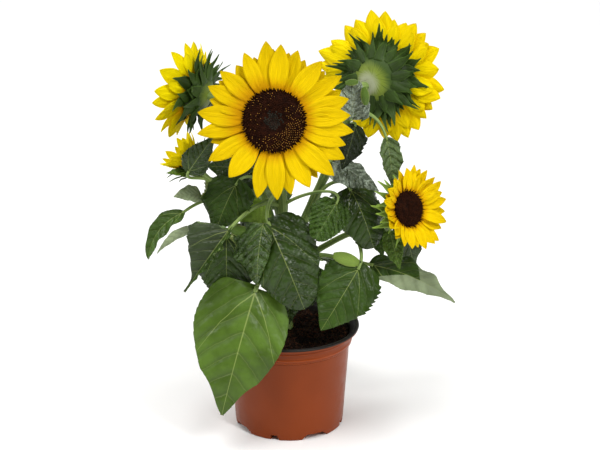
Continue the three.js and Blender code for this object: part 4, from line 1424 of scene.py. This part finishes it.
class SUNFLOWER_OT_discs(bpy.types.Operator):
    """Fill the discs with spirals of buds and open florets"""
    bl_idname = "sunflower.discs"
    bl_label = "Fill the Discs"

    def execute(self, context):
        settings = context.scene.sunflower.flower
        finishes = [
            floret_finish("floret_bud", settings.bud, 0.35),
            floret_finish("floret_open", settings.floret, 0.45),
            floret_finish("floret_pollen", settings.pollen, 0.6),
        ]
        for head in HEADS.values():
            stand = HeadPlace(head)
            shape = new_shape()

            def cushion(across, along):
                height = disc_height(along, head.disc)
                return stand.at(math.pi * (across + 1), along * head.disc * 0.97, height)

            add_sheet(shape, (60, 16), (cushion, plain_mark), 0.001, 1, 1)
            bmesh.ops.remove_doubles(shape, verts=list(shape.verts), dist=1e-6)
            chance = random.Random(head.name + "_disc")
            buds, opens, tips, spikes = floret_places(head, stand, chance)
            spread(shape, cone_template(6, 0.9, 0.45, 1.0), buds, 0)
            spread(shape, cone_template(5, 0.7, 0.95, 0.75), opens, 1)
            spread(shape, cone_template(4, 1.0, 0.5), tips, 2)
            spread(shape, cone_template(4, 1.0, 0.08, 0.9), spikes, 1)
            finish_piece(head.name + "_florets", shape, finishes, "disc", head.name + "_disc")
        return {"FINISHED"}


# Pot and soil
LIP_HEIGHT = 0.0035
COLLAR_HEIGHT = 0.014
FLOOR_HEIGHT = 0.007
# The collar's two rings: their heights over its foot, and how far they stand out
RINGS = (0.0035, 0.0095)
RING_DEPTH = 0.00035
# The drainage notches: their widths, slants and depth into the base, their number and the first one's angle
WIDE_NOTCH = (0.015, 0.006)
SMALL_NOTCH = (0.005, 0.001)
NOTCH_DEPTH = 0.014
NOTCH_COUNT = 8
FIRST_NOTCH = math.radians(-61)


def collar_foot(pot):
    return pot.height - LIP_HEIGHT - COLLAR_HEIGHT


def pot_profile(pot):
    """Radius and height from the middle of the underside, up over the lip and down inside."""
    top, rim, collar, base = pot.height, pot.rim_radius, pot.collar_radius, pot.base_radius
    lip = top - LIP_HEIGHT
    foot = collar_foot(pot)
    slope = (pot.body_radius - base) / foot
    notch = pot.notch_height
    side = collar + 0.0002
    rings = []
    for height in RINGS:
        for step, out in ((-0.0007, 0), (-0.0002, RING_DEPTH), (0.0002, RING_DEPTH), (0.0007, 0)):
            rings.append((side + out, foot + height + step))
    return [
        (0, 0), (base - 0.0155, 0), (base - 0.0015, 0), (base - 0.0004, 0.0004),
        (base, 0.0014), (base, 0.0024), (base, 0.0034),
        (base + slope * notch, notch - 0.0004), (base + slope * notch, notch),
        (base + slope * 0.006, 0.006), (base + slope * 0.04, 0.040),
        (pot.body_radius - 0.0001, foot - 0.0006), (pot.body_radius + 0.0010, foot + 0.0002),
        (collar, foot + 0.0010), *rings,
        (collar + 0.0006, lip - 0.0020), (collar + 0.0020, lip - 0.0010), (rim - 0.0016, lip - 0.0001),
        (rim - 0.0004, lip + 0.0004), (rim, lip + 0.0017), (rim - 0.0003, top - 0.0006),
        (rim - 0.0011, top), (rim - 0.0030, top), (rim - 0.0040, top - 0.0007),
        (collar + 0.0016 - pot.wall, lip - 0.0010), (collar + 0.0006 - pot.wall, lip - 0.0025),
        (collar - pot.wall, foot), (base - pot.wall, FLOOR_HEIGHT), (0, FLOOR_HEIGHT),
    ]


def draw_in(point, share):
    point.co.x *= share
    point.co.y *= share


def cut_notches(shape, pot):
    """Presses the drainage notches into the edge of the base, wide and small in turn."""
    for point in shape.verts:
        radius = math.hypot(point.co.x, point.co.y)
        angle = math.atan2(point.co.y, point.co.x)
        if radius < pot.base_radius - 0.010 or point.co.z > pot.notch_height - 0.0002:
            continue
        for index in range(NOTCH_COUNT):
            width, slant = SMALL_NOTCH if index % 2 else WIDE_NOTCH
            middle = FIRST_NOTCH + index * FULL_TURN / NOTCH_COUNT
            apart = abs(math.remainder(angle - middle, FULL_TURN))
            widening = slant * (1 - point.co.z / pot.notch_height)
            if apart * pot.base_radius < width / 2 + widening:
                draw_in(point, (pot.base_radius - NOTCH_DEPTH) / radius)


class SUNFLOWER_OT_pot(bpy.types.Operator):
    """Mould the pot with its lip, collar rings and drainage notches"""
    bl_idname = "sunflower.pot"
    bl_label = "Mould the Pot"

    def execute(self, context):
        pot = context.scene.sunflower.pot
        shape = new_shape()
        corners = [shape.verts.new((radius, 0, height)) for radius, height in pot_profile(pot)]
        edges = [shape.edges.new(pair) for pair in zip(corners, corners[1:])]
        bmesh.ops.spin(shape, geom=[*corners, *edges], axis=UP, cent=(0, 0, 0), angle=FULL_TURN,
                       steps=288, use_merge=True)
        bmesh.ops.remove_doubles(shape, verts=shape.verts, dist=1e-6)
        bmesh.ops.recalc_face_normals(shape, faces=shape.faces)
        cut_notches(shape, pot)
        lip_line = pot.height - 0.0023
        for face in shape.faces:
            middle = face.calc_center_median()
            inward = face.normal.x * middle.x + face.normal.y * middle.y < 0 and middle.z > 0.006
            face.material_index = 1 if middle.z > lip_line or inward else 0
        pale_ring_heights = [collar_foot(pot) + height for height in (0, *RINGS, 0.0125)]
        outside = plastic_finish("pot_outside", pot.outside, pale_ring_heights)
        inside = plastic_finish("pot_inside", pot.inside)
        piece = finish_piece("moulded_pot", shape, [outside, inside], "pot_plastic", "pot")
        piece.data.set_sharp_from_angle(angle=math.radians(40))
        return {"FINISHED"}


class Ground:
    """The soil's surface inside the pot: a low mound with lumps."""

    def __init__(self, pot, soil):
        self.soil = soil
        self.radius = pot.collar_radius - pot.wall - 0.0003

    def at(self, x, y, lift=0.0):
        share = min(math.hypot(x, y) / self.radius, 1.0)
        lumps = 0.0022 * noise.noise(Vector((x * 90, y * 90, 3.1)))
        lumps += 0.0010 * noise.noise(Vector((x * 260, y * 260, 8.7)))
        return Vector((x, y, self.soil.top + self.soil.mound * (1 - share) + lumps + lift))

    def spot(self, chance, share):
        """A random place, and its angle."""
        radius = self.radius * share * math.sqrt(chance.random())
        angle = chance.uniform(0, FULL_TURN)
        return radius * math.cos(angle), radius * math.sin(angle), angle

    def place(self, across, along):
        angle = math.pi * (across + 1)
        return self.at(self.radius * along * math.cos(angle), self.radius * along * math.sin(angle))


def add_bed(shape, ground):
    """The soil's surface, with a wall that narrows down to the pot's floor."""
    points, _faces = bent_grid(shape, 120, 44, ground.place, plain_mark)
    bmesh.ops.remove_doubles(shape, verts=points, dist=1e-6)
    rim = [edge for edge in shape.edges if edge.is_boundary]
    for item in bmesh.ops.extrude_edge_only(shape, edges=rim)["geom"]:
        if isinstance(item, bmesh.types.BMVert):
            item.co.z = FLOOR_HEIGHT + 0.005
            draw_in(item, 0.88)
    bmesh.ops.holes_fill(shape, edges=[edge for edge in shape.edges if edge.is_boundary], sides=0)
    bmesh.ops.recalc_face_normals(shape, faces=shape.faces)


def add_crumbs(shape, ground, chance):
    """Loose crumbs of two kinds, peat and bark."""
    kinds = [[], []]
    for _ in range(ground.soil.crumbs):
        x, y, _angle = ground.spot(chance, 0.98)
        size = chance.uniform(0.0004, 0.0011) * (2.0 if chance.random() < 0.12 else 1.0)
        direction = Vector([chance.uniform(-1, 1) for _ in range(3)])
        place = aimed(ground.at(x, y, 0.2 * size), direction, size, size * chance.uniform(0.6, 1.8))
        kinds[chance.choice((0, 0, 1))].append(place)
    for finish, places in enumerate(kinds):
        template = bmesh.new()
        bmesh.ops.create_icosphere(template, subdivisions=1, radius=1)
        for point in template.verts:
            point.co *= chance.uniform(0.7, 1.15)
        template.verts.index_update()
        spread(shape, template, places, finish)


def add_fibre(shape, ground, chance):
    """A curled fibre that lies on the soil, unless it would leave the pot at once."""
    x, y, angle = ground.spot(chance, 0.9)
    spot = Vector((x, y))
    heading, bend = chance.uniform(0, FULL_TURN), chance.uniform(-0.5, 0.5)
    line = []
    for step in range(9):
        if spot.length > ground.radius * 0.97:
            break
        line.append(ground.at(spot.x, spot.y, 0.0005 + 0.0012 * abs(math.sin(step * 0.8 + angle))))
        heading += bend
        spot += Vector((math.cos(heading), math.sin(heading))) * chance.uniform(0.0012, 0.0024)
    if len(line) > 3:
        thick = chance.uniform(0.00012, 0.00030)
        limb(shape, Path(line), lambda share: thick * (1.1 - 0.6 * share), 4, len(line) - 1)


class SUNFLOWER_OT_soil(bpy.types.Operator):
    """Fill the pot with soil and strew crumbs and fibres on it"""
    bl_idname = "sunflower.soil"
    bl_label = "Fill in the Soil"

    def execute(self, context):
        soil = context.scene.sunflower.soil
        ground = Ground(context.scene.sunflower.pot, soil)
        chance = random.Random(7)
        peat = soil_finish("soil_peat", soil.peat, soil.bark)
        bark = soil_finish("soil_bark", soil.bark, soil.peat)
        bed, crumbs, fibres = new_shape(), new_shape(), new_shape()
        add_bed(bed, ground)
        finish_piece("soil_bed", bed, [peat], "soil", "soil")
        add_crumbs(crumbs, ground, chance)
        finish_piece("soil_crumbs", crumbs, [peat, bark], "soil")
        for _ in range(soil.fibres):
            add_fibre(fibres, ground, chance)
        finish_piece("soil_fibres", fibres, [bark], "soil")
        return {"FINISHED"}


# Stage
CAMERA_TARGET = Vector((0.010, 0, 0.1953))
LIT_POINT = Vector((0.0, 0.0, 0.2))
# Soft lamps: place, size and power
LAMPS = {
    "key_light": ((1.0, -1.5, 1.9), 0.6, 32),
    "top_light": ((-0.3, 0.8, 1.8), 1.0, 14),
    "side_light": ((-1.8, -0.5, 1.3), 0.5, 12),
    "low_light": ((1.9, -0.5, 0.6), 0.5, 7),
}


def looking(direction):
    """The turn of a lamp or camera that looks in a direction."""
    return direction.to_track_quat("-Z", "Y").to_euler()


class SUNFLOWER_OT_stage(bpy.types.Operator):
    """Set the floor, the light and the camera"""
    bl_idname = "sunflower.stage"
    bl_label = "Set the Stage"

    def execute(self, context):
        stage = context.scene.sunflower.stage
        shape = new_shape()
        bmesh.ops.create_grid(shape, x_segments=1, y_segments=1, size=6)
        mesh = bpy.data.meshes.new("floor")
        shape.to_mesh(mesh)
        shape.free()
        finish = Finish("floor_paper", 0.1)
        join(finish.tree, finish.shader, {"Roughness": 0.9, "Base Color": (*stage.floor, 1)})
        mesh.materials.append(finish.material)
        new_object("floor", mesh)

        world = bpy.data.worlds.new("studio")
        world.use_nodes = True
        background = {"Color": (1.0, 1.0, 1.0, 1), "Strength": 0.24}
        join(world.node_tree, world.node_tree.nodes["Background"], background)
        context.scene.world = world
        for name, (place, size, power) in LAMPS.items():
            light = bpy.data.lights.new(name, "AREA")
            light.shape = "DISK"
            light.size = size
            light.energy = power
            lamp = new_object(name, light)
            lamp.location = place
            lamp.rotation_euler = looking(LIT_POINT - Vector(place))
        sky = bpy.data.lights.new("sky_light", "SUN")
        sky.energy = 1.4
        sky.angle = math.radians(30)
        new_object("sky_light", sky).rotation_euler = (math.radians(18), math.radians(-12), 0)

        lens = bpy.data.cameras.new("camera")
        lens.lens = 180
        lens.sensor_width = 36
        camera = new_object("camera", lens)
        back = Vector((0, -math.cos(stage.elevation), math.sin(stage.elevation)))
        camera.location = CAMERA_TARGET + back * stage.distance
        camera.rotation_euler = looking(-back)
        context.scene.camera = camera
        context.scene.view_settings.view_transform = "Standard"
        return {"FINISHED"}


STEPS = (
    SUNFLOWER_OT_stage, SUNFLOWER_OT_pot, SUNFLOWER_OT_soil, SUNFLOWER_OT_stems, SUNFLOWER_OT_leaves,
    SUNFLOWER_OT_bracts, SUNFLOWER_OT_rays, SUNFLOWER_OT_discs,
)


class SUNFLOWER_PT_panel(bpy.types.Panel):
    """Lists the plant's settings and the steps that make it"""
    bl_idname = "SUNFLOWER_PT_panel"
    bl_label = "Potted Sunflower"
    bl_space_type = "VIEW_3D"
    bl_region_type = "UI"
    bl_category = "Sunflower"

    def draw(self, context):
        for part in ("pot", "soil", "stem", "leaf", "flower", "stage"):
            box = self.layout.box()
            box.label(text=part.capitalize())
            settings = getattr(context.scene.sunflower, part)
            for key in settings.__annotations__:
                box.prop(settings, key)
        for step in STEPS:
            self.layout.operator(step.bl_idname)


CLASSES = (
    SunflowerPotSettings, SunflowerSoilSettings, SunflowerStemSettings, SunflowerLeafSettings,
    SunflowerFlowerSettings, SunflowerStageSettings, SunflowerSettings, *STEPS, SUNFLOWER_PT_panel,
)


def register():
    for entry in CLASSES:
        bpy.utils.register_class(entry)
    bpy.types.Scene.sunflower = PointerProperty(type=SunflowerSettings)


def unregister():
    del bpy.types.Scene.sunflower
    for entry in reversed(CLASSES):
        bpy.utils.unregister_class(entry)


def main():
    register()
    for step in STEPS:
        group, action = step.bl_idname.split(".")
        getattr(getattr(bpy.ops, group), action)()


if __name__ == "__main__":
    main()
